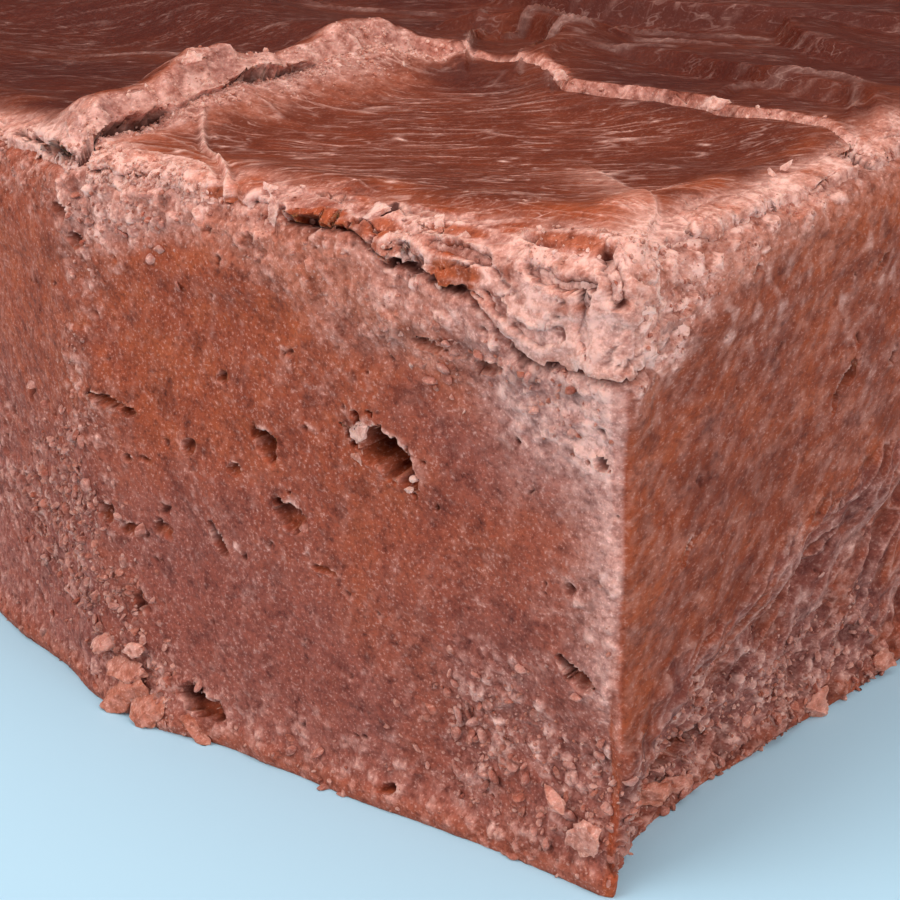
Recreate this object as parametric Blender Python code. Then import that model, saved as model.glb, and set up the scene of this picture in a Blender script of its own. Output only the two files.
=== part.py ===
"""A hand-cut square of chocolate fudge, about an inch thick, as one closed solid.

The slab has five uneven cut sides, a crumbling rim, a foot that has crept outwards where it rests,
a top skin thrown up into folds, air holes opened by the knife, and one broken corner at the base.

Frame: +X along the longest side, +Z up, the origin on the base at the middle of the slab's box.
Sizes below are in millimetres. MM turns them into Blender's metres.
"""

import math
from dataclasses import dataclass

import bmesh
import bpy
import numpy as np
from mathutils import Euler, Vector, noise

MM = 0.001

# Driving dimensions of the slab, LENGTH and WIDTH over its crept foot.
LENGTH = 69.5
WIDTH = 62.0
THICKNESS = 24.5
FRONT_Y = -WIDTH / 2 + 0.5
RIGHT_X = LENGTH / 2 - 0.6

# How finely the slab is divided: squares along each edge of the top, steps round a corner, and
# subdivisions of the balls that cut the air holes.
GRID_STEPS = 44
CORNER_STEPS = 16
HOLE_DETAIL = 2

# Corners of the cut outline seen from above, each with its corner radius.
# The front side is cut in two strokes that meet at the kink.
LEFT_CORNER = (-LENGTH / 2 + 0.8, FRONT_Y + 13.0, 2.6)
KINK = (6.5, FRONT_Y, 7.0)
FRONT_CORNER = (RIGHT_X, FRONT_Y, 0.7)
BACK_RIGHT = (RIGHT_X - 0.5, WIDTH / 2, 2.2)
BACK_LEFT = (-LENGTH / 2 + 1.4, WIDTH / 2 - 0.6, 2.8)

# Rings of the side, top to bottom: height, then how far the ring stands out of the outline.
# The skin overhangs a little below the rim, and the foot has crept out under the slab's weight.
SIDE_RINGS = (
    (THICKNESS - 0.25, -0.75),
    (THICKNESS - 0.9, -0.2),
    (THICKNESS - 2.0, 0.12),
    (THICKNESS - 3.8, 0.22),
    (THICKNESS - 5.4, 0.02),
    (15.5, 0.0),
    (11.5, -0.08),
    (8.0, -0.1),
    (5.0, -0.05),
    (2.8, 0.0),
    (1.3, 0.15),
    (0.5, 0.5),
    (0.0, 0.35),
)

# The top's border lies inside the outline by this much. The rim bead stands on it.
RIM_INSET = 1.5
RIM_BEAD = 0.2

# Unevenness: lump size, height and seed.
TOP_LUMPS = ((9.0, 0.35, 1), (4.0, 0.18, 2))
SIDE_LUMPS = ((11.0, 0.3, 3), (3.5, 0.14, 4))
FOOT_LUMPS = (5.0, 0.3, 5)

# Breaks in the sides: a shallow one by the front corner, and one along the foot of the right side,
# whose upper edge runs level and then falls to the corner. The foot's break is given as (y, height of
# its upper edge) and as (y, depth), and dies away towards the back.
CORNER_BREAK_DEPTH = 0.5
FOOT_BREAK_TOP = ((-30.3, -1.0), (-29.4, 0.9), (-28.1, 4.1), (-25.1, 6.6), (-21.4, 7.4), (-17.5, 8.2), (-15.0, 9.9),
                  (-7.5, 9.7))
FOOT_BREAK_DEPTH = ((-30.5, 0.3), (-28.5, 1.2), (-27.0, 1.8), (-25.0, 2.1), (-23.0, 2.1), (-20.5, 1.9), (-17.8, 1.5),
                    (-14.5, 1.4), (-11.6, 1.0), (-8.4, 0.7), (-4.0, 0.4))


@dataclass(frozen=True)
class Fold:
    """A fold in the top skin: a crest line, steep on its right-hand side and gentle on its left.

    crest holds (x, y, height above the top) along the line. steep and gentle are the half widths
    of the two slopes.
    """

    crest: tuple
    steep: float
    gentle: float


@dataclass(frozen=True)
class Hollow:
    """A shallow dip in the top: its middle, its half sizes and its depth."""

    x: float
    y: float
    half_x: float
    half_y: float
    depth: float


@dataclass(frozen=True)
class Hole:
    """An air hole that a cut has opened: its middle, its half sizes, and its tilt and turn in degrees."""

    x: float
    y: float
    z: float
    across: float
    high: float
    deep: float
    tilt: float
    turn: float = 0.0


FOLDS = (
    # The main fold climbs from the kink towards the middle of the slab.
    Fold(((6.8, -31.0, 1.7), (6.6, -27.2, 1.9), (6.4, -23.4, 2.1), (5.8, -19.9, 2.8), (6.0, -16.5, 2.0),
          (5.8, -13.5, 2.2), (5.6, -9.1, 3.0), (5.2, -5.3, 1.6), (4.0, -2.5, 0.6)), 1.2, 3.6),
    # The edge of the rear plate, which has ridden up over the front one.
    Fold(((9.5, -4.8, 0.8), (13.5, -5.6, 1.2), (16.5, -8.0, 1.3), (21.5, -8.0, 1.3), (26.0, -8.8, 1.1),
          (30.0, -9.8, 0.8), (33.0, -11.8, 0.3)), 1.2, 8.0),
    # A small plate behind it.
    Fold(((12.0, 0.8, 0.6), (17.0, 0.6, 0.9), (24.0, -2.4, 0.9), (29.0, -3.6, 0.8),
          (31.5, -7.0, 0.4)), 1.2, 5.0),
    # The swirl where the folds meet.
    Fold(((0.5, 4.0, 1.0), (5.5, 4.5, 1.5), (9.5, 1.5, 1.4), (11.0, -3.0, 0.7)), 1.4, 3.0),
    # The left plate's edge, and two long low folds over the rear half.
    Fold(((-30.0, -4.0, 0.5), (-19.0, 0.5, 1.3), (-8.0, -3.0, 1.4), (3.0, -4.0, 1.0)), 1.3, 5.0),
    Fold(((-25.0, 16.0, 0.5), (-12.0, 17.0, 1.3), (2.0, 13.5, 1.5), (14.0, 15.5, 1.2),
          (26.0, 22.5, 0.5)), 1.4, 6.0),
    Fold(((15.0, 15.0, 0.9), (20.0, 8.0, 1.0), (28.0, 5.5, 0.4)), 1.3, 4.0),
)

HOLLOWS = (
    Hollow(21.0, -19.0, 8.5, 7.5, 0.55),
    Hollow(-16.0, -11.0, 9.0, 7.0, 0.5),
    Hollow(-4.0, 24.0, 14.0, 5.0, 0.4),
)

HOLES = (
    # In the front side.
    Hole(23.7, FRONT_Y, 15.4, 1.55, 0.85, 2.2, -24.0),
    Hole(17.5, FRONT_Y, 14.3, 0.6, 0.75, 1.0, -20.0),
    Hole(18.6, FRONT_Y, 11.5, 0.6, 0.8, 0.7, 30.0),
    Hole(14.6, FRONT_Y, 9.4, 0.45, 0.95, 1.0, 40.0),
    Hole(8.6, FRONT_Y, 14.2, 1.3, 0.45, 0.8, -4.0),
    Hole(32.2, FRONT_Y, 8.4, 0.95, 0.45, 1.1, -14.0),
    Hole(13.0, FRONT_Y - 0.4, 1.9, 1.2, 0.55, 1.2, -4.0),
    # In the right side.
    Hole(RIGHT_X - 0.2, -14.4, 15.6, 0.8, 0.5, 0.8, 30.0, 90.0),
    Hole(RIGHT_X - 1.7, -23.2, 2.3, 1.5, 0.5, 1.2, 10.0, 90.0),
)


def smooth(low, high, value):
    """0 below low, 1 above high, and an S curve between."""
    t = np.clip((value - low) / (high - low), 0.0, 1.0)
    return t * t * (3.0 - 2.0 * t)


def hump(value, centre, half_width):
    """A bell that is 1 at centre and fades out about two half widths away."""
    return np.exp(-(((value - centre) / half_width) ** 2))


def ripple(points, size, height, seed):
    """Smooth unevenness up to height either way at each point, in lumps about size across."""
    shift = Vector((seed * 17.3, seed * 5.1, seed * 9.7))
    return height * np.array([noise.noise(Vector(p) / size + shift) for p in points])


def rounded_outline(corners):
    """The outline, anticlockwise: its points, their outward normals, and each corner's middle index."""
    flat = [Vector(c[:2]) for c in corners]
    points, normals, middles = [], [], []
    for i, (x, y, radius) in enumerate(corners):
        here = Vector((x, y))
        to_last = (flat[i - 1] - here).normalized()
        to_next = (flat[(i + 1) % len(flat)] - here).normalized()
        half = to_last.angle(to_next) / 2
        centre = here + (to_last + to_next).normalized() * radius / math.sin(half)
        sweep = math.pi - 2 * half
        out = -(to_last + to_next).normalized()
        middles.append(len(points) + CORNER_STEPS // 2)
        for k in range(CORNER_STEPS + 1):
            turn = sweep * (k / CORNER_STEPS - 0.5)
            normal = Vector((out.x * math.cos(turn) - out.y * math.sin(turn),
                             out.x * math.sin(turn) + out.y * math.cos(turn)))
            points.append(centre + normal * radius)
            normals.append(normal)
    return np.array(points), np.array(normals), middles


def sample_side(points, normals, start, end, steps):
    """Evenly spaced points and normals along the outline from index start to index end."""
    count = len(points)
    index = [k % count for k in range(start, end + 1 if end > start else end + count + 1)]
    run, facing = points[index], normals[index]
    lengths = np.concatenate([[0.0], np.cumsum(np.linalg.norm(np.diff(run, axis=0), axis=1))])
    at = np.linspace(0.0, lengths[-1], steps + 1)
    place = np.column_stack([np.interp(at, lengths, run[:, k]) for k in (0, 1)])
    out = np.column_stack([np.interp(at, lengths, facing[:, k]) for k in (0, 1)])
    return place, out / np.linalg.norm(out, axis=1)[:, None]


def crest_points(crest, steps=8):
    """A smooth curve through a crest's points (Catmull-Rom), with steps points to each stretch."""
    knots = np.array((crest[0],) + crest + (crest[-1],), float)
    t = np.arange(steps)[:, None] / steps
    runs = []
    for before, start, end, after in zip(knots, knots[1:], knots[2:], knots[3:]):
        runs.append(0.5 * (2 * start + (end - before) * t + (2 * before - 5 * start + 4 * end - after) * t**2
                           + (3 * start - before - 3 * end + after) * t**3))
    return np.concatenate(runs + [knots[-1:]])


def fold_height(fold, x, y):
    """Height that one fold adds at x, y: a bell across the crest, narrow on the steep side."""
    crest = crest_points(fold.crest)
    along = np.gradient(crest[:, :2], axis=0)
    along /= np.linalg.norm(along, axis=1)[:, None]
    dx = x[:, None] - crest[:, 0]
    dy = y[:, None] - crest[:, 1]
    away = np.hypot(dx, dy)
    nearest = np.argmin(away, axis=1)
    pick = np.arange(len(x)), nearest
    away = away[pick]
    tangent = along[nearest]
    # From -1 on the right of the crest to 1 on its left.
    side = (tangent[:, 0] * dy[pick] - tangent[:, 1] * dx[pick]) / np.maximum(away, 1e-6)
    width = fold.steep + (fold.gentle - fold.steep) * smooth(-0.8, 0.8, side)
    return crest[nearest, 2] * np.exp(-((away / width) ** 2))


def top_height(x, y, edge):
    """Height of the top at x, y. edge is how far the point is inside the top's border."""
    sunk = sum(dip.depth * hump(x, dip.x, dip.half_x) * hump(y, dip.y, dip.half_y) for dip in HOLLOWS)
    places = np.column_stack([x, y, np.zeros(len(x))])
    lumps = sum(ripple(places, *lump) for lump in TOP_LUMPS)
    folds = np.max([fold_height(fold, x, y) for fold in FOLDS], axis=0)
    bead = RIM_BEAD * hump(edge, 1.8, 1.2)
    return THICKNESS - sunk + lumps * smooth(0.0, 1.6, edge) + folds * smooth(-1.6, 1.0, edge) + bead


def side_offset(place, normal, z):
    """How far the side stands out of its ring at each point: waviness, the crept foot and the breaks."""
    x, y = place[:, 0], place[:, 1]
    faces_front = smooth(0.6, 0.9, -normal[:, 1])
    faces_right = smooth(0.6, 0.9, normal[:, 0])
    points = np.column_stack([x, y, np.full(len(x), z)])
    offset = sum(ripple(points, *lump) for lump in SIDE_LUMPS)
    # The foot creeps out unevenly, most at a clump to the right of the kink.
    foot = 1.0 - smooth(0.6, 2.2, z)
    offset += foot * ripple(points, *FOOT_LUMPS)
    offset += foot * faces_front * 0.6 * hump(x, KINK[0] + 4.5, 2.6)
    offset -= CORNER_BREAK_DEPTH * faces_front * smooth(22.0, 27.0, x) * hump(z, 4.5, 3.0)
    break_top, break_depth = (np.interp(y, *np.array(table).T) for table in (FOOT_BREAK_TOP, FOOT_BREAK_DEPTH))
    broken = smooth(-0.8, 2.6, break_top - z) * (1.0 - smooth(2.0, 18.0, y))
    return offset - break_depth * faces_right * broken


def side_ring(place, normal, z, stand_out):
    """One ring round the slab at height z."""
    offset = (stand_out + side_offset(place, normal, z))[:, None]
    flat = place + normal * offset
    return np.column_stack([flat, np.full(len(flat), z)])


def fill_between(front, right, back, left):
    """A grid of points whose edges are the four sides, front and back running the same way."""
    steps = len(front) - 1
    u = np.linspace(0.0, 1.0, steps + 1)[None, :, None]
    v = np.linspace(0.0, 1.0, steps + 1)[:, None, None]
    ruled = (1 - v) * front[None] + v * back[None] + (1 - u) * left[:, None] + u * right[:, None]
    corners = ((1 - u) * (1 - v) * front[0] + u * (1 - v) * front[-1]
               + (1 - u) * v * back[0] + u * v * back[-1])
    return ruled - corners


def build_slab():
    """The slab's mesh: a grid for the top, its edge drawn down ring by ring, and a flat base."""
    corners = (LEFT_CORNER, KINK, FRONT_CORNER, BACK_RIGHT, BACK_LEFT)
    points, normals, middles = rounded_outline(corners)
    left, _, front, back_right, back_left = middles
    ends = (left, front, back_right, back_left)
    sides = [sample_side(points, normals, a, b, GRID_STEPS) for a, b in zip(ends, ends[1:] + ends[:1])]
    inset = [place - out * RIM_INSET for place, out in sides]
    top = fill_between(inset[0], inset[1], inset[2][::-1], inset[3][::-1])

    bm = bmesh.new()
    bmesh.ops.create_grid(bm, x_segments=GRID_STEPS, y_segments=GRID_STEPS, size=1.0)
    # The grid's own coordinates, from -1 to 1, say which row and column each vertex is in.
    bm.verts.ensure_lookup_table()
    cells = (np.array([vert.co[:2] for vert in bm.verts]) + 1.0) / 2.0 * GRID_STEPS
    column, row = np.rint(cells).astype(int).T
    flat = top[row, column]
    outline = np.concatenate([place[:-1] for place, _ in sides])
    edge = np.array([np.min(np.hypot(*(outline - p).T)) for p in flat]) - RIM_INSET
    heights = top_height(flat[:, 0], flat[:, 1], np.maximum(edge, 0.0))
    for vert, (x, y), z in zip(bm.verts, flat, heights):
        vert.co = (x, y, z)

    # The border's vertices in outline order, starting at the left corner.
    border = {(r, c): vert for vert, r, c in zip(bm.verts, row, column)}
    last = GRID_STEPS
    loop = [border[0, k] for k in range(last)] + [border[k, last] for k in range(last)]
    loop += [border[last, last - k] for k in range(last)] + [border[last - k, 0] for k in range(last)]
    facing = np.concatenate([out[:-1] for _, out in sides])
    for z, stand_out in SIDE_RINGS:
        ring = [bm.verts.new(p) for p in side_ring(outline, facing, z, stand_out)]
        for k in range(len(loop)):
            after = (k + 1) % len(loop)
            bm.faces.new((loop[k], ring[k], ring[after], loop[after]))
        loop = ring
    bm.faces.new(loop[::-1])
    bmesh.ops.recalc_face_normals(bm, faces=bm.faces)
    bmesh.ops.scale(bm, vec=(MM, MM, MM), verts=bm.verts)
    mesh = bpy.data.meshes.new("fudge")
    bm.to_mesh(mesh)
    bm.free()
    return mesh


def add_cutter(number, hole):
    """A lumpy ball that cuts one air hole."""
    bpy.ops.mesh.primitive_ico_sphere_add(subdivisions=HOLE_DETAIL, radius=1.0)
    cutter = bpy.context.active_object
    cutter.name = f"hole_cutter_{number}"
    for vert in cutter.data.vertices:
        lump = 1.0 + 0.3 * noise.noise(vert.co * 1.3 + Vector((number * 3.7, 0.0, 0.0)))
        vert.co = Vector((vert.co.x * hole.across, vert.co.y * hole.deep, vert.co.z * hole.high)) * lump * MM
    cutter.location = Vector((hole.x, hole.y, hole.z)) * MM
    cutter.rotation_euler = Euler((0.0, math.radians(-hole.tilt), math.radians(hole.turn)))
    cutter.hide_render = True
    cutter.display_type = "WIRE"
    return cutter


def fudge_material():
    """Matte reddish brown with a faint gloss."""
    material = bpy.data.materials.new("fudge")
    material.use_nodes = True
    shader = material.node_tree.nodes["Principled BSDF"]
    shader.inputs["Base Color"].default_value = (0.29, 0.085, 0.055, 1.0)
    shader.inputs["Roughness"].default_value = 0.55
    shader.inputs["Metallic"].default_value = 0.0
    return material


def main():
    """Clears the scene and builds the fudge."""
    for obj in list(bpy.data.objects):
        bpy.data.objects.remove(obj, do_unlink=True)
    fudge = bpy.data.objects.new("fudge", build_slab())
    bpy.context.scene.collection.objects.link(fudge)
    fudge.data.materials.append(fudge_material())
    fudge.data.shade_smooth()
    fudge.data.set_sharp_from_angle(angle=math.radians(50))
    for number, hole in enumerate(HOLES):
        cut = fudge.modifiers.new(f"air_hole_{number}", "BOOLEAN")
        cut.operation = "DIFFERENCE"
        cut.object = add_cutter(number, hole)


main()
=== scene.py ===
"""A slab of chocolate fudge, dressed over its solid.

The solid gives the size and the large forms. This script repeats those forms finely and gives them
what fudge has: a satin top skin in two plates, one pushed up over the other, with a crumbling ridge
and dark cracks where they meet; a pale, cracked rim; cut sides with air holes, sugary grain and a
broken foot; and loose crumbs. Lengths are in millimetres, and MM turns them into Blender's metres.
"""

import logging
import math
from dataclasses import dataclass, field
from enum import Enum
from typing import Any, Callable, Sequence

import bpy
import numpy as np
from mathutils import Matrix, Vector, noise


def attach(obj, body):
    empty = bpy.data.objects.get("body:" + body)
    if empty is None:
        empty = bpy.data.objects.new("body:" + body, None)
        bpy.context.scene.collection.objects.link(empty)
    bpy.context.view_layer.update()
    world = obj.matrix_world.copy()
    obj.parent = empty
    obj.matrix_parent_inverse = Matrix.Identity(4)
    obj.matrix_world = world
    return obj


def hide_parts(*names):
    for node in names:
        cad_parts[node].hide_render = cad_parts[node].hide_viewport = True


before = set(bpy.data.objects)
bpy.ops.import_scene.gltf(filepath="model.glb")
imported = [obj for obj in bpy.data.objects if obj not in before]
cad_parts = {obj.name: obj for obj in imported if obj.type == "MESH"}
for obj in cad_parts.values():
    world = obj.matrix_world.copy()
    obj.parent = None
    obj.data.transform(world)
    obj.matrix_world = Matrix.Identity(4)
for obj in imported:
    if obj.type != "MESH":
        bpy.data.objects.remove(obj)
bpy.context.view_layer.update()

MM = 0.001
BODY = "root"
NODE = "fudge"
LOG = logging.getLogger("fudge")

Array = np.ndarray


# ---- Fields: smooth steps, bells and seeded noise that the relief is made of ----


def smooth(low: Any, high: Any, value: Any) -> Array:
    """0 below low, 1 above high, and an S curve between."""
    t = np.clip((value - low) / (high - low), 0.0, 1.0)
    return t * t * (3.0 - 2.0 * t)


def hump(value: Any, centre: Any, half_width: Any) -> Array:
    """A bell that is 1 at centre and fades out about two half widths away."""
    return np.exp(-(((value - centre) / half_width) ** 2))


def mixed(a: Any, b: Any, amount: Any) -> Array:
    """a where amount is 0 and b where it is 1."""
    return a + (b - a) * amount


def ripple(points: Array, size: float, height: float, seed: int) -> Array:
    """The solid's own large unevenness, up to height either way, in lumps about size across."""
    shift = Vector((seed * 17.3, seed * 5.1, seed * 9.7))
    return height * np.array([noise.noise(Vector(p) / size + shift) for p in points])


def cell_number(cell: Array, seed: int) -> Array:
    """A repeatable whole number below 2**32 for each lattice cell (n x 3).

    Args:
        cell: lattice cells, n x 3 whole numbers.
        seed: which of the repeatable patterns.

    Returns:
        One whole number a cell.
    """
    whole = cell.astype(np.int64)
    mix = (whole[:, 0] * 73856093) ^ (whole[:, 1] * 19349663) ^ (whole[:, 2] * 83492791) ^ (seed * 40503)
    mix &= 0xFFFFFFFF
    mix = ((mix ^ (mix >> 15)) * 1274126177) & 0xFFFFFFFF
    mix = ((mix ^ (mix >> 13)) * 1103515245) & 0xFFFFFFFF
    return mix ^ (mix >> 16)


def lattice(points: Array, size: Any, seed: int) -> Array:
    """Smooth seeded noise from about -1 to 1, in lumps size across (one number or one per axis).

    Args:
        points: places.
        size: lump size, one number or one per axis.
        seed: which of the repeatable patterns.

    Returns:
        One value a place.
    """
    place = points / np.asarray(size, float)
    base = np.floor(place)
    local = place - base
    fade = local**3 * (local * (local * 6.0 - 15.0) + 10.0)
    total = np.zeros(len(points))
    for corner in np.ndindex(2, 2, 2):
        step = np.array(corner, float)
        number = cell_number(base + step, seed)
        slope = np.column_stack([(number >> shift & 255) / 127.5 - 1.0 for shift in (0, 8, 16)])
        weight = np.prod(np.where(step > 0, fade, 1.0 - fade), axis=1)
        total += weight * np.sum(slope * (local - step), axis=1)
    return total * 1.5


def blocks(points: Array, size: float, seed: int) -> Array:
    """Noise from -1 to 1 that jumps from grain to grain, for broken edges."""
    return 2.0 * cells(points, size, seed)[2] - 1.0


def cells(points: Array, size: Any, seed: int) -> tuple[Array, Array, Array]:
    """Scattered seeds, one to a lattice cell.

    Args:
        points: places.
        size: cell size, one number or one per axis.
        seed: which scatter.

    Returns:
        Distance to the nearest seed and to the second nearest, in cells, and a number from 0 to 1
        that belongs to the nearest.
    """
    place = points / np.asarray(size, float)
    base = np.floor(place)
    first = np.full(len(points), 9.0)
    second = np.full(len(points), 9.0)
    owner = np.zeros(len(points))
    for step in np.ndindex(3, 3, 3):
        cell = base + np.array(step) - 1.0
        number = cell_number(cell, seed)
        spot = cell + np.column_stack([(number >> shift & 1023) / 1023.0 for shift in (0, 10, 20)])
        away = np.linalg.norm(place - spot, axis=1)
        closer = away < first
        second = np.where(closer, first, np.minimum(second, away))
        first = np.where(closer, away, first)
        owner = np.where(closer, (number >> 5 & 4095) / 4095.0, owner)
    return first, second, owner


# ---- The slab's own form, the same as the solid's ----


def curve_through(knots: Sequence[Sequence[float]], steps: int = 6) -> Array:
    """A smooth curve through knots (Catmull-Rom), with steps points to each stretch.

    Args:
        knots: points that the curve passes, each with its values.
        steps: points to each stretch.

    Returns:
        The curve's points.
    """
    table = np.array([knots[0], *knots, knots[-1]], float)
    t = np.arange(steps)[:, None] / steps
    runs = []
    for before, start, end, after in zip(table, table[1:], table[2:], table[3:]):
        runs.append(0.5 * (2 * start + (end - before) * t + (2 * before - 5 * start + 4 * end - after) * t**2
                           + (3 * start - before - 3 * end + after) * t**3))
    return np.concatenate(runs + [table[-1:]])


@dataclass(frozen=True)
class Crest:
    """A line drawn on the top, such as a fold's crest: knots of (x, y, height above the top)."""

    knots: tuple[tuple[float, float, float], ...]
    steep: float = 0.4
    gentle: float = 3.0

    def near(self, x: Array, y: Array) -> tuple[Array, Array, Array, Array]:
        """How points lie against the line.

        Args:
            x: places along X.
            y: places along Y.

        Returns:
            Distance to the line, side from -1 on its right to 1 on its left, the line's height at
            its nearest point, and how far along that is, from 0 to 1.
        """
        line = curve_through(self.knots)
        away = np.full(x.shape, 1e9)
        side, height, run = np.zeros(x.shape), np.zeros(x.shape), np.zeros(x.shape)
        for k, (start, end) in enumerate(zip(line, line[1:])):
            dx, dy = end[:2] - start[:2]
            span = math.hypot(dx, dy)
            t = np.clip(((x - start[0]) * dx + (y - start[1]) * dy) / span**2, 0.0, 1.0)
            ex, ey = x - start[0] - t * dx, y - start[1] - t * dy
            here = np.hypot(ex, ey)
            closer = here < away
            away = np.where(closer, here, away)
            side = np.where(closer, (dx * ey - dy * ex) / np.maximum(here * span, 1e-9), side)
            height = np.where(closer, start[2] + t * (end[2] - start[2]), height)
            run = np.where(closer, (k + t) / (len(line) - 1), run)
        return away, side, height, run

    def fold(self, x: Array, y: Array) -> Array:
        """Height of a fold with this crest: a bell, steep on the right and gentle on the left.

        Args:
            x: places along X.
            y: places along Y.

        Returns:
            Height at each place.
        """
        away, side, height, _ = self.near(x, y)
        width = mixed(self.steep, self.gentle, smooth(-0.8, 0.8, side))
        return height * np.exp(-((away / width) ** 2))


@dataclass(frozen=True)
class Hole:
    """An air hole that a cut has opened, on one side of the slab.

    along and z are its middle, across, high and deep its half sizes, and tilt its turn in degrees.
    """

    along: float
    z: float
    across: float
    high: float
    deep: float
    tilt: float = 0.0

    def reach(self, along: Array, z: Array, wobble: Array) -> Array:
        """How far points lie from the hole's middle: below 1 inside it, with an uneven edge.

        Args:
            along: places along the side.
            z: heights.
            wobble: unevenness of the edge.

        Returns:
            Distance over the hole's own radius.
        """
        turn = math.radians(self.tilt)
        a, b = along - self.along, z - self.z
        major = (a * math.cos(turn) + b * math.sin(turn)) / self.across
        minor = (b * math.cos(turn) - a * math.sin(turn)) / self.high
        return np.hypot(major, minor) * (1.0 + 0.35 * wobble)


@dataclass
class SlabForm:
    """The large form of the slab: its outline, its side profile and the height of its top."""

    length: float = 69.5
    width: float = 62.0
    thickness: float = 24.5
    rim_bead: float = 0.2
    top_lumps: tuple = ((9.0, 0.35, 1), (4.0, 0.18, 2))
    side_lumps: tuple = ((11.0, 0.3, 3), (3.5, 0.14, 4))
    foot_lumps: tuple = (5.0, 0.3, 5)
    hollows: tuple = ((21.0, -19.0, 8.5, 7.5, 0.55), (-16.0, -11.0, 9.0, 7.0, 0.5),
                      (-4.0, 24.0, 14.0, 5.0, 0.4))
    folds: tuple = (
        Crest(((12.0, 0.8, 0.6), (17.0, 0.6, 0.9), (24.0, -2.4, 0.9), (29.0, -3.6, 0.8),
               (31.5, -7.0, 0.4)), 0.35, 5.0),
        Crest(((0.5, 4.0, 1.0), (5.5, 4.5, 1.5), (9.5, 1.5, 1.4), (11.0, -3.0, 0.7)), 0.6, 3.0),
        Crest(((-30.0, -4.0, 0.5), (-19.0, 0.5, 1.3), (-8.0, -3.0, 1.4), (3.0, -4.0, 1.0)), 2.6, 6.0),
        Crest(((-25.0, 16.0, 0.5), (-12.0, 17.0, 1.3), (2.0, 13.5, 1.5), (14.0, 15.5, 1.2),
               (26.0, 22.5, 0.5)), 0.5, 6.0),
        Crest(((15.0, 15.0, 0.9), (20.0, 8.0, 1.0), (28.0, 5.5, 0.4)), 0.4, 4.0),
    )
    overlap: Crest = Crest(((6.9, -33.0, 1.6), (6.8, -31.0, 1.7), (6.6, -27.2, 1.9), (6.4, -23.4, 2.1),
                            (5.8, -19.9, 2.8), (6.0, -16.5, 2.0), (5.8, -13.5, 2.2), (5.6, -9.1, 3.0),
                            (7.0, -6.2, 1.4), (9.5, -4.8, 0.6), (13.5, -5.6, 0.75), (16.5, -8.0, 0.8),
                            (21.5, -8.0, 0.75), (26.0, -8.8, 0.6), (30.0, -9.8, 0.45), (33.0, -11.8, 0.3),
                            (35.5, -13.5, 0.15)))
    break_top: tuple = ((-31.2, 2.0), (-29.4, 3.0), (-28.1, 4.4), (-25.1, 6.6), (-21.4, 7.4), (-17.5, 8.2),
                        (-15.0, 9.9), (-7.5, 9.7))
    break_depth: tuple = ((-31.2, 0.5), (-30.2, 0.9), (-28.5, 1.6), (-27.0, 1.9), (-25.0, 2.1), (-23.0, 2.1),
                          (-20.5, 1.9), (-17.8, 1.5), (-14.5, 1.4), (-11.6, 1.0), (-8.4, 0.7), (-4.0, 0.4))
    torn_top: tuple = ((-31.2, 4.6), (-30.2, 6.1), (-28.6, 6.8), (-25.2, 8.1), (-19.9, 8.5), (-18.7, 10.1),
                       (-13.3, 11.0), (-7.5, 11.5))
    arcs: int = 24
    kink_x: float = 6.5
    soft_reach: float = 1.7
    foot_end: tuple = (2.0, 18.0)
    points: Array = field(init=False)
    normals: Array = field(init=False)
    lengths: Array = field(init=False)
    corners: tuple = field(init=False)

    def __post_init__(self) -> None:
        """Draws the outline and measures along it."""
        self.front_y = -self.width / 2 + 0.5
        self.right_x = self.length / 2 - 0.6
        places = (
            (-self.length / 2 + 0.8, self.front_y + 13.0, 2.6),
            (self.kink_x, self.front_y, 7.0),
            (self.right_x, self.front_y, 0.7),
            (self.right_x - 0.5, self.width / 2, 2.2),
            (-self.length / 2 + 1.4, self.width / 2 - 0.6, 2.8),
        )
        flat = [Vector(place[:2]) for place in places]
        points, normals, middles = [], [], []
        for i, (x, y, radius) in enumerate(places):
            here = Vector((x, y))
            to_last = (flat[i - 1] - here).normalized()
            to_next = (flat[(i + 1) % len(flat)] - here).normalized()
            half = to_last.angle(to_next) / 2
            centre = here + (to_last + to_next).normalized() * radius / math.sin(half)
            out = -(to_last + to_next).normalized()
            middles.append(len(points) + self.arcs // 2)
            for k in range(self.arcs + 1):
                turn = (math.pi - 2 * half) * (k / self.arcs - 0.5)
                normal = Matrix.Rotation(turn, 2) @ out
                points.append(centre + normal * radius)
                normals.append(normal)
        points.append(points[0])
        normals.append(normals[0])
        self.points, self.normals = np.array(points), np.array(normals)
        self.lengths = np.concatenate([[0.0], np.cumsum(np.linalg.norm(np.diff(self.points, axis=0), axis=1))])
        self.corners = tuple(float(self.lengths[k]) for k in middles)
        self.soft_table = self._softened(self.soft_reach)
        heights = np.arange(0.0, self.thickness + 0.01, 0.05)
        self.profile = self._profile(heights)

    @property
    def around(self) -> float:
        """The outline's whole length."""
        return float(self.lengths[-1])

    def _softened(self, reach: float) -> tuple[Array, Array]:
        """Normals that turn gently round the corners, as a table of place along and normal.

        Args:
            reach: how wide a corner's turn is spread.

        Returns:
            Places along the outline, and the normals there.
        """
        steps = np.arange(0.0, self.around, 0.1)
        sharp = self._lookup(steps, self.normals)
        spread = np.arange(-40, 41)
        weights = np.exp(-((spread * 0.1 / reach) ** 2))
        soft = sum(weight * np.roll(sharp, -shift, axis=0) for shift, weight in zip(spread, weights))
        return steps, soft / np.linalg.norm(soft, axis=1)[:, None]

    def _lookup(self, s: Array, table: Array) -> Array:
        """A table of the outline's vectors read at s along it."""
        at = np.mod(s, self.around)
        return np.column_stack([np.interp(at, self.lengths, table[:, k]) for k in (0, 1)])

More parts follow.
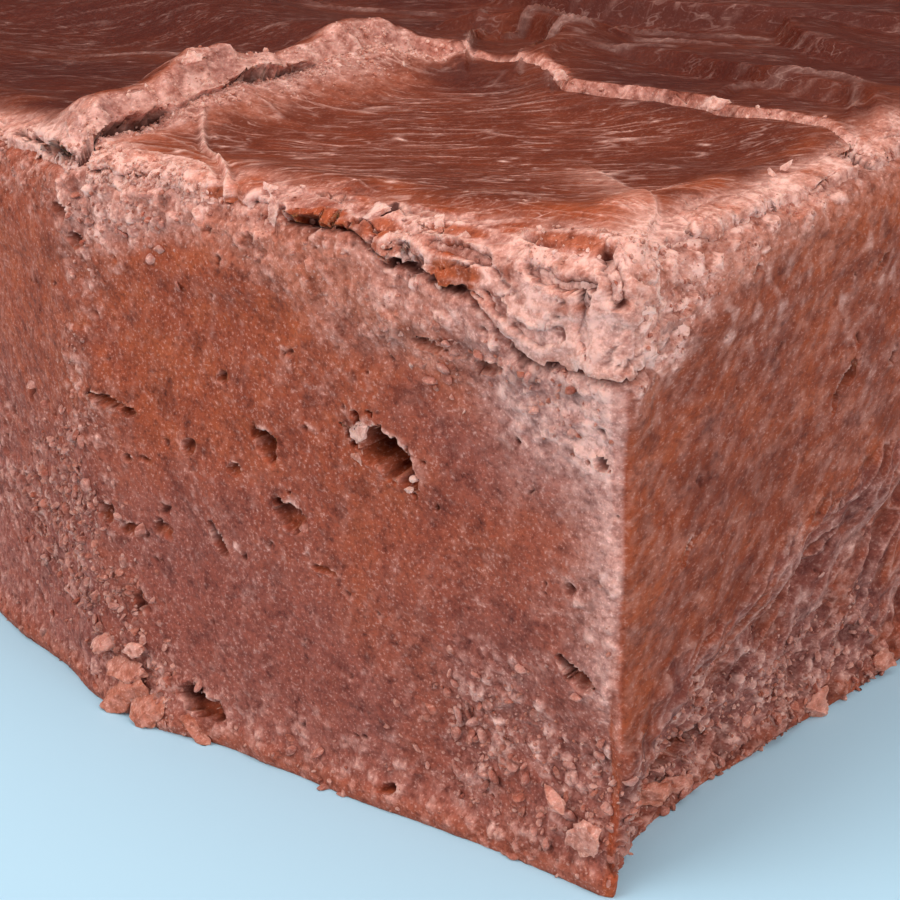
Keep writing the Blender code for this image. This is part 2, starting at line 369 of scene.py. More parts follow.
    def _profile(self, heights: Array) -> tuple[Array, Array, Array]:
        """The side's profile from the top's border down: path length, inset and height.

        Args:
            heights: not used; the profile is measured at even steps along its path.

        Returns:
            Path length, inset and height.
        """
        top = self.thickness
        rings = ((0.0, 0.35), (0.5, 0.5), (1.3, 0.15), (2.8, 0.0), (5.0, -0.05), (8.0, -0.1), (11.5, -0.08),
                 (15.5, 0.0), (top - 5.4, 0.02), (top - 3.8, 0.22), (top - 2.0, 0.12), (top - 0.9, -0.2),
                 (top - 0.25, -0.75), (top, -1.5))
        z, out = np.array(rings).T
        levels = np.linspace(0.0, 1.0, 240)
        # Even steps along the path of rings, then a light smoothing so that no ring shows.
        path = np.concatenate([[0.0], np.cumsum(np.hypot(np.diff(z), np.diff(out)))])
        z_even, out_even = (np.interp(levels * path[-1], path, row) for row in (z, out))
        kernel = np.array([1, 4, 6, 4, 1]) / 16.0
        for _ in range(4):
            z_even[2:-2] = np.convolve(z_even, kernel, "valid")
            out_even[2:-2] = np.convolve(out_even, kernel, "valid")
        z_down, inset = z_even[::-1], -out_even[::-1]
        down = np.concatenate([[0.0], np.cumsum(np.hypot(np.diff(z_down), np.diff(inset)))])
        return down, inset, z_down

    def path_at(self, z: Any) -> Array:
        """Path length from the top's border down to height z."""
        down, _, heights = self.profile
        return np.interp(-np.asarray(z, float), -heights, down)

    def place(self, s: Array) -> tuple[Array, Array, Array]:
        """Outline points at s along it, with their outward normals and softened normals.

        Args:
            s: places along the outline.

        Returns:
            Points, outward normals and softened normals.
        """
        steps, soft = self.soft_table
        at = np.mod(s, self.around)
        turned = np.column_stack([np.interp(at, steps, soft[:, k]) for k in (0, 1)])
        sharp = self._lookup(s, self.normals)
        unit = np.linalg.norm(sharp, axis=1)[:, None]
        return self._lookup(s, self.points), sharp / unit, turned / np.linalg.norm(turned, axis=1)[:, None]

    def wall(self, s: Array, path: Array) -> tuple[Array, Array]:
        """Points on the slab's side.

        Args:
            s: places along the outline.
            path: distances down the profile from the top's border.

        Returns:
            The points, n x 3, and the outline's outward normals, n x 2.
        """
        down, insets, heights = self.profile
        flat, normal, soft = self.place(s)
        inset = np.interp(path, down, insets)
        z = np.interp(path, down, heights)
        offset = self.side_offset(flat, normal, z)
        flat = (flat - soft * np.maximum(inset, 0.0)[:, None]
                + normal * (offset - np.minimum(inset, 0.0))[:, None])
        return np.column_stack([flat, z]), normal

    def side_offset(self, flat: Array, normal: Array, z: Array) -> Array:
        """How far the side stands out of its profile: waviness, the crept foot and the breaks.

        Args:
            flat: places in plan.
            normal: the outline's outward normals, n x 2.
            z: heights.

        Returns:
            Offset along the normal, in millimetres.
        """
        x, y = flat[:, 0], flat[:, 1]
        faces_front = smooth(0.6, 0.9, -normal[:, 1])
        faces_right = smooth(0.6, 0.9, normal[:, 0])
        points = np.column_stack([x, y, z])
        offset = sum(ripple(points, *lump) for lump in self.side_lumps)
        foot = 1.0 - smooth(0.6, 2.2, z)
        offset += foot * ripple(points, *self.foot_lumps)
        offset += foot * faces_front * 0.6 * hump(x, self.kink_x + 4.5, 2.6)
        offset -= 0.5 * faces_front * smooth(22.0, 27.0, x) * hump(z, 4.5, 3.0)
        return offset - np.interp(y, *np.array(self.break_depth).T) * faces_right * self.foot_break(y, z)

    def foot_break(self, y: Array, z: Array) -> Array:
        """1 in the broken foot of the right side and 0 outside it."""
        break_top = np.interp(y, *np.array(self.break_top).T)
        return smooth(-0.8, 2.6, break_top - z) * (1.0 - smooth(*self.foot_end, y))

    def torn(self, y: Array, z: Array) -> Array:
        """How far the right side's torn foot covers a place, from 0 to 1."""
        return (smooth(-0.25, 0.35, np.interp(y, *np.array(self.torn_top).T) - z)
                * (1.0 - smooth(*self.foot_end, y)))

    def top(self, x: Array, y: Array, edge: Array) -> Array:
        """Height of the top without the overlap of its two plates; edge is the distance to its border.

        Args:
            x: places along X.
            y: places along Y.
            edge: distance inside the top's border.

        Returns:
            Heights, in millimetres.
        """
        sunk = sum(depth * hump(x, cx, rx) * hump(y, cy, ry) for cx, cy, rx, ry, depth in self.hollows)
        places = np.column_stack([x, y, np.zeros(len(x))])
        lumps = sum(ripple(places, *lump) for lump in self.top_lumps)
        folds = np.max([fold.fold(x, y) for fold in self.folds], axis=0)
        bead = self.rim_bead * hump(edge, 1.8, 1.2)
        return self.thickness - sunk + lumps * smooth(0.0, 1.6, edge) + folds * smooth(-1.6, 1.0, edge) + bead


# ---- Surface facts that the finishes read, one value to a vertex ----


class Tone(Enum):
    """What a vertex says about its surface, by attribute name."""

    # PALE also carries painted highlights, and DARK painted shade in cracks, pits and holes.
    # ROSE also carries a painted sheen and a painted reflection of the floor.
    PALE = "pale"
    DARK = "dark"
    SKIN = "skin"
    WARM = "warm"
    ROSE = "rose"


PALE, DARK, SKIN, WARM, ROSE = Tone
Tones = dict[Tone, Array]


def blank_tones(count: int) -> Tones:
    """All tones at zero for count vertices."""
    return {tone: np.zeros(count) for tone in Tone}


@dataclass
class Relief:
    """Fine relief and tones at a set of points; offset is along the surface's normal."""

    offset: Array
    tones: Tones
    crumble: Array


@dataclass
class Cut:
    """Places on the cut sides, with how much each lies on a side and how crumbly it is, 0 to 1.

    on_facet is the stretch left of the kink, near_corner the distance from the front corner, and
    tones what the relief adds its colours to.
    """

    points: Array
    on_front: Array
    on_facet: Array
    on_right: Array
    near_corner: Array
    tones: Tones
    crumble: Array = field(default_factory=lambda: np.zeros(0))


@dataclass(frozen=True)
class CutRelief:
    """The fine surface of the cut sides."""

    form: SlabForm
    grain_stretch: tuple[float, float, float] = (1.0, 0.6, 1.0)
    hole_reach: float = 3.5
    front_holes: tuple[Hole, ...] = tuple(Hole(*row) for row in (
        (23.7, 15.3, 1.75, 0.85, 2.6, -24.0),
        (17.5, 14.3, 0.5, 0.7, 1.2, 20.0),
        (18.6, 11.5, 0.6, 0.75, 0.7, 30.0),
        (14.6, 9.4, 0.85, 0.3, 1.0, -58.0),
        (8.3, 14.3, 0.95, 0.26, 0.9, -8.0),
        (9.6, 14.0, 0.45, 0.2, 0.6, 10.0),
        (32.2, 8.4, 0.9, 0.34, 1.2, -34.0),
        (13.0, 1.6, 1.2, 0.45, 1.3, -14.0),
        (13.1, 13.2, 0.42, 0.34, 0.45, 0.0),
        (11.1, 9.1, 0.5, 0.35, 0.4, -10.0),
        (9.1, 8.6, 0.65, 0.32, 0.5, 5.0),
        (7.7, 9.0, 0.42, 0.48, 0.5, 0.0),
        (15.7, 12.9, 0.32, 0.26, 0.35, 0.0),
        (20.3, 9.6, 0.8, 0.16, 0.35, -4.0),
        (23.5, 1.0, 0.38, 0.24, 0.5, 0.0),
        (6.0, 22.1, 0.42, 0.33, 0.6, -20.0),
        (7.2, 21.0, 0.5, 0.3, 0.7, -35.0),
        (3.1, 20.2, 0.6, 0.18, 0.4, -20.0),
        (26.0, 20.0, 0.6, 0.24, 0.5, -3.0),
        (28.6, 19.6, 0.6, 0.25, 0.6, 14.0),
        (15.2, 16.6, 0.28, 0.26, 0.4, 0.0),
        (14.8, 22.5, 0.18, 0.17, 0.4, 0.0),
        (9.3, 11.9, 0.3, 0.19, 0.3, 0.0),
        (10.4, 12.1, 0.3, 0.19, 0.3, 0.0),
        (4.0, 10.9, 0.5, 0.2, 0.5, 0.0),
        (33.2, 16.9, 0.24, 0.24, 0.5, 0.0),
    ))
    right_holes: tuple[Hole, ...] = tuple(Hole(*row) for row in (
        (-14.4, 15.6, 1.1, 0.4, 0.9, 38.0),
        (-22.0, 22.0, 0.4, 0.2, 0.5, 30.0),
        (-26.3, 12.4, 0.75, 0.14, 0.25, 60.0),
        (-11.8, 20.1, 0.45, 0.2, 0.4, 20.0),
        (-23.2, 2.3, 1.6, 0.3, 0.8, 8.0),
        (4.0, 12.0, 1.3, 0.6, 1.2, 15.0),
        (15.0, 16.0, 0.8, 0.5, 0.9, -20.0),
    ))

    def at(self, points: Array, normal: Array, path: Array) -> Relief:
        """Relief and tones of the cut sides.

        Args:
            points: places.
            normal: the outline's outward normals, n x 2.
            path: distances down from the top's border.

        Returns:
            The relief.
        """
        form = self.form
        x, y, z = points.T
        on_front = smooth(0.93, 0.985, -normal[:, 1]) * smooth(form.kink_x - 2.5, form.kink_x - 0.5, x)
        on_facet = smooth(0.6, 0.8, -normal[:, 1]) * (1.0 - smooth(form.kink_x - 1.5, form.kink_x + 0.5, x))
        on_right = smooth(0.8, 0.95, normal[:, 0])
        near_corner = np.hypot(x - form.right_x, y - form.front_y)
        cut = Cut(points, on_front, on_facet, on_right, near_corner, blank_tones(len(points)))
        cut.crumble = self._crumble(cut)
        offset = self._grain(cut)
        offset += self._small_pits(cut)
        offset += self._holes(cut)
        offset += self._broken_foot(cut)
        offset += self._under_lip(cut, path)
        self._tint(cut)
        return Relief(offset, cut.tones, cut.crumble)

    def _crumble(self, cut: Cut) -> Array:
        """How crumbly the cut is, from 0 where the knife left it smooth to 1.

        Args:
            cut: the places.

        Returns:
            Crumbliness, 0 to 1.
        """
        points, on_front, on_facet, on_right = cut.points, cut.on_front, cut.on_facet, cut.on_right
        x, y, z = points.T
        patch = lattice(points, 3.2, 40)
        rim_front = on_front * smooth(-1.0, 1.2, z - front_rim_foot(x) + 0.9 * patch)
        rim_front *= 0.5 + 0.5 * smooth(-0.35, 0.4, lattice(points, 1.8, 44) + 0.6 * smooth(17.0, 12.0, x))
        rim_right = on_right * smooth(-0.8, 1.0, z - right_rim_foot(y) + 0.6 * patch)
        rim_rest = (1 - on_front) * (1 - on_right) * smooth(-0.8, 1.0, z - 21.6 + 1.2 * patch)
        edge = 0.25 * on_front * hump(cut.near_corner, 0.0, 1.8) * smooth(-0.5, 0.4, patch + 0.3)
        seam = smooth(-0.3, 0.5, patch + 0.2) * hump(x, self.form.kink_x + 0.4, 1.5) * (on_front + on_facet)
        seam *= smooth(5.0, 9.0, z)
        corner = on_front * smooth(24.0, 28.5, x) * (1 - smooth(6.0, 10.0, z)) * smooth(-0.5, 0.3, patch + 0.15)
        foot = (on_front + on_facet) * (1 - smooth(1.0, 4.0, z + patch)) * 0.6
        clump = on_front * hump(x, 10.4, 3.2) * (1 - smooth(2.2, 4.0, z))
        patches = 0.4 * smooth(0.25, 0.6, lattice(points, 5.5, 43)) * (1 - 0.6 * on_right)
        facet = (on_facet
                 * (0.15 + 0.85 * hump(z + patch, 7.5, 4.5) * smooth(-0.6, 0.2, lattice(points, 1.3, 45))))
        low = self.form.torn(y, z + 1.0 + 0.8 * patch)
        broken = on_right * low * (0.25 + 0.75 * smooth(6.5, 3.0, z + patch)) * smooth(-5.0, -11.0, y)
        parts = (rim_front, rim_right, rim_rest, edge, seam, corner, foot, clump, patches, facet, broken)
        return np.clip(np.max(parts, axis=0), 0.0, 1.0)

    def _grain(self, cut: Cut) -> Array:
        """Waves left by the knife, sugary grain, and crumbs where the cut is crumbly.

        Args:
            cut: the places.

        Returns:
            Offset of the surface.
        """
        points, crumble, on_right, tones = cut.points, cut.crumble, cut.on_right, cut.tones
        # The knife drew the paste out along Y.
        points = points * self.grain_stretch
        offset = 0.06 * lattice(points, 2.4, 50) + 0.03 * lattice(points, 1.1, 51)
        offset += (0.015 + 0.035 * crumble) * lattice(points, 0.42, 52)
        warp = points + 0.15 * np.column_stack([lattice(points, 0.5, 150 + k) for k in range(3)])
        near, next_near, owner = cells(warp, (0.42, 0.42, 0.5), 53)
        grain = smooth(0.02, 0.35, next_near - near)
        offset += crumble * (0.05 * (grain - 0.6) + 0.17 * (owner - 0.45) * grain)
        _, _, chunk_owner = cells(warp, (1.2, 1.2, 0.9), 54)
        offset += crumble * 0.24 * (chunk_owner - 0.5)
        tones[PALE] += crumble * (0.14 + 0.75 * smooth(0.55, 0.95, owner)) * (0.5 + 0.5 * grain)
        # Darker grains, more so in the crevices between them, where the darkening is painted shade.
        tones[DARK] += crumble * 0.4 * smooth(0.45, 0.0, owner) * (0.5 + 0.5 * (1 - grain))
        # Short pale streaks where the blade dragged grains along.
        turned = points @ np.array([[0.88, -0.3, 0.36], [0.3, 0.95, 0.05], [-0.36, 0.07, 0.93]])
        drag = lattice(turned, (0.2, 0.2, 0.8), 55)
        wide_drag = lattice(turned, (0.5, 0.5, 2.4), 56)
        wide_drag *= 1 - 0.8 * on_right
        drag *= 1 - 0.5 * on_right
        offset += 0.02 * (1 - 0.5 * crumble) * drag + 0.02 * wide_drag
        sugar = lattice(points, 0.3, 57) + 0.5 * lattice(points, 0.7, 58)
        left = 1 - 0.65 * on_right
        tones[PALE] += 0.22 * left * smooth(0.35, 0.75, drag) * (0.3 + 0.6 * crumble)
        tones[PALE] += left * (0.08 * smooth(0.1, 0.6, wide_drag) + 0.2 * smooth(0.3, 0.8, sugar))
        tones[DARK] += 0.12 * smooth(0.2, 0.7, -wide_drag) + 0.25 * smooth(0.3, 0.8, -sugar)
        return offset

    def _small_pits(self, cut: Cut) -> Array:
        """Scattered small air bubbles and torn spots.

        Args:
            cut: the places.

        Returns:
            Offset of the surface.
        """
        points, crumble, tones = cut.points, cut.crumble, cut.tones
        x, _, z = points.T
        cluster = cut.on_front * hump(x, 9.5, 6.0) * hump(z, 10.0, 5.5) + 0.8 * cut.on_facet
        offset = np.zeros(len(points))
        warp = np.column_stack([0.35 * lattice(points, 0.45, 60 + k) for k in range(3)])
        for size, seed, share, deep in ((1.7, 64, 0.3, 0.3), (0.9, 65, 0.4, 0.16), (3.6, 66, 0.14, 0.4)):
            near, _, owner = cells(points + warp, size, seed)
            keep = share * (0.35 + 0.9 * cluster + 0.4 * crumble) * (1 - 0.6 * cut.on_right)
            chosen = smooth(1.0 - keep, 1.0 - 0.8 * keep, owner)
            radius = 0.12 + 0.13 * np.mod(owner * 37.0, 1.0)
            pit = chosen * smooth(radius, radius * 0.5, near)
            lip = chosen * hump(near, radius * 1.25, 0.07) * smooth(-0.2, 0.5, warp[:, 0] * 3)
            offset += deep * (0.1 * lip - pit)
            # Painted shade in the pit.
            tones[DARK] += 0.75 * pit
            tones[PALE] += 0.4 * lip
        return offset

    def _holes(self, cut: Cut) -> Array:
        """The larger air holes, each with a ragged pale lip.

        Args:
            cut: the places.

        Returns:
            Offset of the surface.
        """
        points, tones = cut.points, cut.tones
        x, y, z = points.T
        offset = np.zeros(len(points))
        wobble = lattice(points, 0.55, 70) + 0.7 * blocks(points, 0.42, 71)
        for holes, along, facing in ((self.front_holes, x, cut.on_front), (self.right_holes, y, cut.on_right)):
            for hole in holes:
                close = (facing > 0.3) & (np.abs(along - hole.along) < self.hole_reach)
                close &= np.abs(z - hole.z) < self.hole_reach
                reach = hole.reach(along[close], z[close], wobble[close])
                inside = smooth(1.0, 0.78, reach)
                lip = hump(reach, 1.15, 0.16)
                above = smooth(-0.5, 0.5, (z[close] - hole.z) / hole.high)
                offset[close] -= hole.deep * inside * mixed(0.75, 1.0, above)
                offset[close] += 0.05 * lip
                # Painted shade inside the hole, deepest under its upper edge.
                dark = smooth(1.0, 0.7, reach) * min(1.0, 0.45 + 0.5 * hole.deep)
                tones[DARK][close] += dark * mixed(0.3, 1.0, above)
                tones[PALE][close] += 0.75 * lip * (0.3 + 0.7 * above) * smooth(-0.3, 0.5, wobble[close])
                tones[PALE][close] *= 1 - inside
                tones[WARM][close] += 0.9 * inside * (1 - above)
        return offset

    def _broken_foot(self, cut: Cut) -> Array:
        """Torn grain, dragged ledges and a raised edge where the foot of the right side broke away.

        Args:
            cut: the places.

        Returns:
            Offset of the surface.
        """
        points, crumble, on_right, tones = cut.points, cut.crumble, cut.on_right, cut.tones
        y, z = points[:, 1], points[:, 2]
        zone = self.form.torn(y, z + 0.9 * lattice(points, 2.2, 85) + 0.5 * blocks(points, 0.8, 94))
        broken = on_right * zone * smooth(0.0, 0.5, z)
        along, across = 0.77 * y + 0.64 * z, 0.77 * z - 0.64 * y
        drawn = np.column_stack([along / 2.2, across, points[:, 0]]) + 0.25 * lattice(points, 1.4, 86)[:, None]
        tear = lattice(drawn, 1.1, 80)
        fine = lattice(drawn, 0.5, 81)
        offset = broken * (0.5 * (0.35 - np.abs(tear)) + 0.16 * (0.35 - np.abs(fine)))
        offset += broken * 0.3 * lattice(points, 2.1, 87)
        ledge = on_right * hump(zone, 0.3, 0.3) * smooth(0.2, 0.8, z) * smooth(0.5, 0.9, on_right)
        offset += 0.1 * ledge
        # Painted sheen: grey-lilac patches on the torn foot, painted in the rose tone.
        painted_sheen = broken * smooth(-0.5, 0.3, lattice(points, 2.6, 82) + 0.1)
        tones[ROSE] += painted_sheen
        tones[PALE] += 0.45 * ledge * smooth(-0.2, 0.4, fine)
        tones[PALE] += broken * (0.4 * smooth(0.12, 0.0, np.abs(tear)) + 0.3 * smooth(0.1, 0.0, np.abs(fine)))
        # Painted shade in the tear's hollows, and darker where it crumbles.
        tones[DARK] += broken * (0.3 * smooth(0.25, 0.55, np.abs(tear)) + 0.25 * crumble)
        return offset

    def _under_lip(self, cut: Cut, path: Array) -> Array:
        """The crack that runs under the lip of skin along the front rim.

        Args:
            cut: the places.
            path: distances down from the top's border.

        Returns:
            Offset of the surface.
        """
        points, tones = cut.points, cut.tones
        x, y = points[:, 0], points[:, 1]
        below = path - lip_drop(x) - 0.12 * lattice(points, 0.6, 88) - 0.12 * blocks(points, 0.5, 89)
        on = smooth(18.0, 19.0, x) * smooth(-28.4, -30.0, y)
        gap = on * hump(below, 0.05, 0.14 + 0.26 * lip_gap(x))
        # Painted shade in the crack under the lip.
        tones[DARK] += 0.95 * gap * smooth(-0.6, 0.3, lip_gap(x) - 0.3 + 0.4 * lattice(points, 0.7, 84))
        tones[WARM] += 0.7 * on * hump(below, 1.6, 0.8) * smooth(24.0, 21.0, x)
        step = (0.3 * on * smooth(0.1, 0.35, below) * smooth(3.6, 0.8, below)
                * (0.75 + 0.5 * lattice(points, 1.2, 83)))
        return step - (0.25 + 0.6 * lip_gap(x)) * gap

    def _tint(self, cut: Cut) -> None:
        """Large patches of warm brown, rose and dusty pink.

        Args:
            cut: the places.
        """
        points, crumble, tones = cut.points, cut.crumble, cut.tones
        on_front, on_facet, on_right, near_corner = cut.on_front, cut.on_facet, cut.on_right, cut.near_corner
        form = self.form
        x, y, z = points.T
        broad = lattice(points, 7.0, 90) + 0.5 * lattice(points, 2.6, 91)
        small = lattice(points, 0.9, 92)
        # Rose, stronger towards the foot of the front and the facet: painted reflection of the blue floor.
        tones[ROSE] += (on_front + on_facet) * 0.7 * smooth(16.0, 6.0, z + 3.0 * broad)
        tones[ROSE] += on_front * 0.6 * hump(x, 27.5, 4.5) * hump(z, 16.5, 3.2)
        band = hump(z + 0.6 * broad, np.interp(x, (14.0, 18.0, 22.0, 27.0), (22.2, 22.4, 21.6, 19.6)), 1.3)
        tones[WARM] += on_front * band * smooth(12.0, 16.0, x) * smooth(30.0, 25.0, x)
        tones[PALE] *= 1 - 0.6 * on_front * band * smooth(12.0, 16.0, x) * smooth(30.0, 25.0, x)
        tones[WARM] += on_right * 0.8 * hump(z + 0.7 * broad, 22.6, 1.0) * smooth(-27.5, -24.0, y)
        tones[PALE] += on_right * 0.5 * hump(z + broad, 20.5, 1.6) * smooth(0.1, 0.6, small)
        tones[WARM] += 0.3 * smooth(0.1, 0.7, broad) * (1 - crumble)
        front_side = smooth(form.front_y + 0.4, form.front_y + 0.15, y)
        # Down the front corner edge: dusty pink, with a painted highlight along the edge.
        edge_dust_and_highlight = hump(near_corner, 0.0, 1.7) * front_side * smooth(2.0, 9.0, z)
        tones[PALE] += 0.64 * edge_dust_and_highlight * (0.75 + 0.25 * smooth(-0.6, 0.5, small))
        tones[ROSE] += 0.7 * edge_dust_and_highlight
        tones[WARM] += on_right * (0.25 + 0.5 * hump(near_corner, 1.0, 1.6)) * (1 - crumble)
        mottle = lattice(points, (1.5, 2.6, 1.2), 95) + 0.6 * lattice(points, (0.6, 1.1, 0.5), 96)
        tones[DARK] += (on_right * (0.2 + 0.2 * smooth(0.1, 0.7, mottle) + 0.1 * smooth(13.0, 9.0, z))
                        * (1 - crumble))
        tones[WARM] += on_right * 0.5 * smooth(0.0, -0.6, mottle) * (1 - crumble)
        tones[DARK] += 0.16 * (on_front + on_facet) * smooth(0.1, 0.7, mottle) * (1 - crumble)
        pink = on_front * smooth(26.5, 31.5, x) * smooth(13.5, 17.5, z + 1.5 * broad)
        tones[PALE] += 0.34 * pink * (0.75 + 0.6 * small)
        tones[ROSE] += 0.6 * pink
        swoop = on_right * smooth(-1.8, 1.4, z - right_rim_foot(y) - 0.3 + 0.9 * broad)
        tones[PALE] += 0.36 * swoop * (0.75 + 0.5 * small)
        tones[WARM] += 0.4 * swoop * smooth(0.2, -0.4, small)
        under = on_front * smooth(-0.8, 1.4, z - front_rim_foot(x) + 0.9 * lattice(points, 3.2, 40))
        under *= mixed(1.0, 0.55, hump(x, 20.0, 3.0))
        tones[PALE] += (0.34 + 0.1 * smooth(16.0, 12.0, x)) * under * (0.8 + 0.6 * small)
        tones[ROSE] += 0.3 * under * smooth(-0.4, 0.4, -small)
        dusky = (on_front * hump(z + 0.3 * small, np.interp(x, (22.0, 30.0), (20.8, 19.6)), 0.7)
                 * smooth(22.0, 24.0, x))
        tones[DARK] += 0.5 * dusky * smooth(0.0, 0.5, lattice(points, 1.4, 93))
        tones[SKIN] += 0.4 * on_right * (1 - crumble) * (1 - swoop) * (1 - self.form.torn(y, z))
        tones[PALE] *= 1 - 0.3 * on_facet
        tones[PALE] *= 1 - 0.5 * smooth(1.2, 0.3, z)
        tones[WARM] += 0.5 * smooth(1.3, 0.5, z)


def front_rim_foot(x: Array) -> Array:
    """How low the pale, crumbling rim comes on the front, as a height."""
    return np.interp(x, (6.1, 9.9, 13.3, 16, 19.6, 24.4, 26.7, 28.9, 31.5, 33.5),
                     (20.4, 21.4, 21.4, 21.4, 20.6, 19.2, 18.4, 17.6, 17.0, 16.6))


def right_rim_foot(y: Array) -> Array:
    """How low the pale, crumbling rim comes on the right side, as a height."""
    return np.interp(y, (-31.6, -28.2, -24.3, -19.4, -11.6), (18.0, 19.7, 21.6, 22.5, 23.3))


def lip_drop(x: Array) -> Array:
    """How far down the front rim the skin's ragged lip reaches, as path length from the border."""
    return np.interp(x, (5.0, 18.6, 21.9, 22.3, 24.2, 26.2, 26.6, 27.7, 28.6, 29.5, 30.9, 33.9),
                     (1.4, 1.5, 1.3, 1.5, 2.3, 2.6, 3.0, 2.7, 3.2, 4.5, 5.0, 4.9))


def lip_gap(x: Array) -> Array:
    """How wide the crack under the lip stands open, from 0 to 1.

    Args:
        x: places along X.

    Returns:
        Openness at each place.
    """
    return np.interp(x, (18.6, 19.0, 20.5, 21.7, 22.1, 23.2, 24.0, 25.0, 26.2, 26.6, 27.4, 28.4, 28.9, 29.6,
                         30.2, 31.2, 31.8, 32.6, 33.6),
                     (0.0, 0.9, 1.0, 0.8, 0.15, 0.25, 0.5, 0.35, 0.5, 0.7, 0.3, 0.6, 0.1, 0.2, 0.8,
                      0.5, 0.15, 0.6, 0.3))


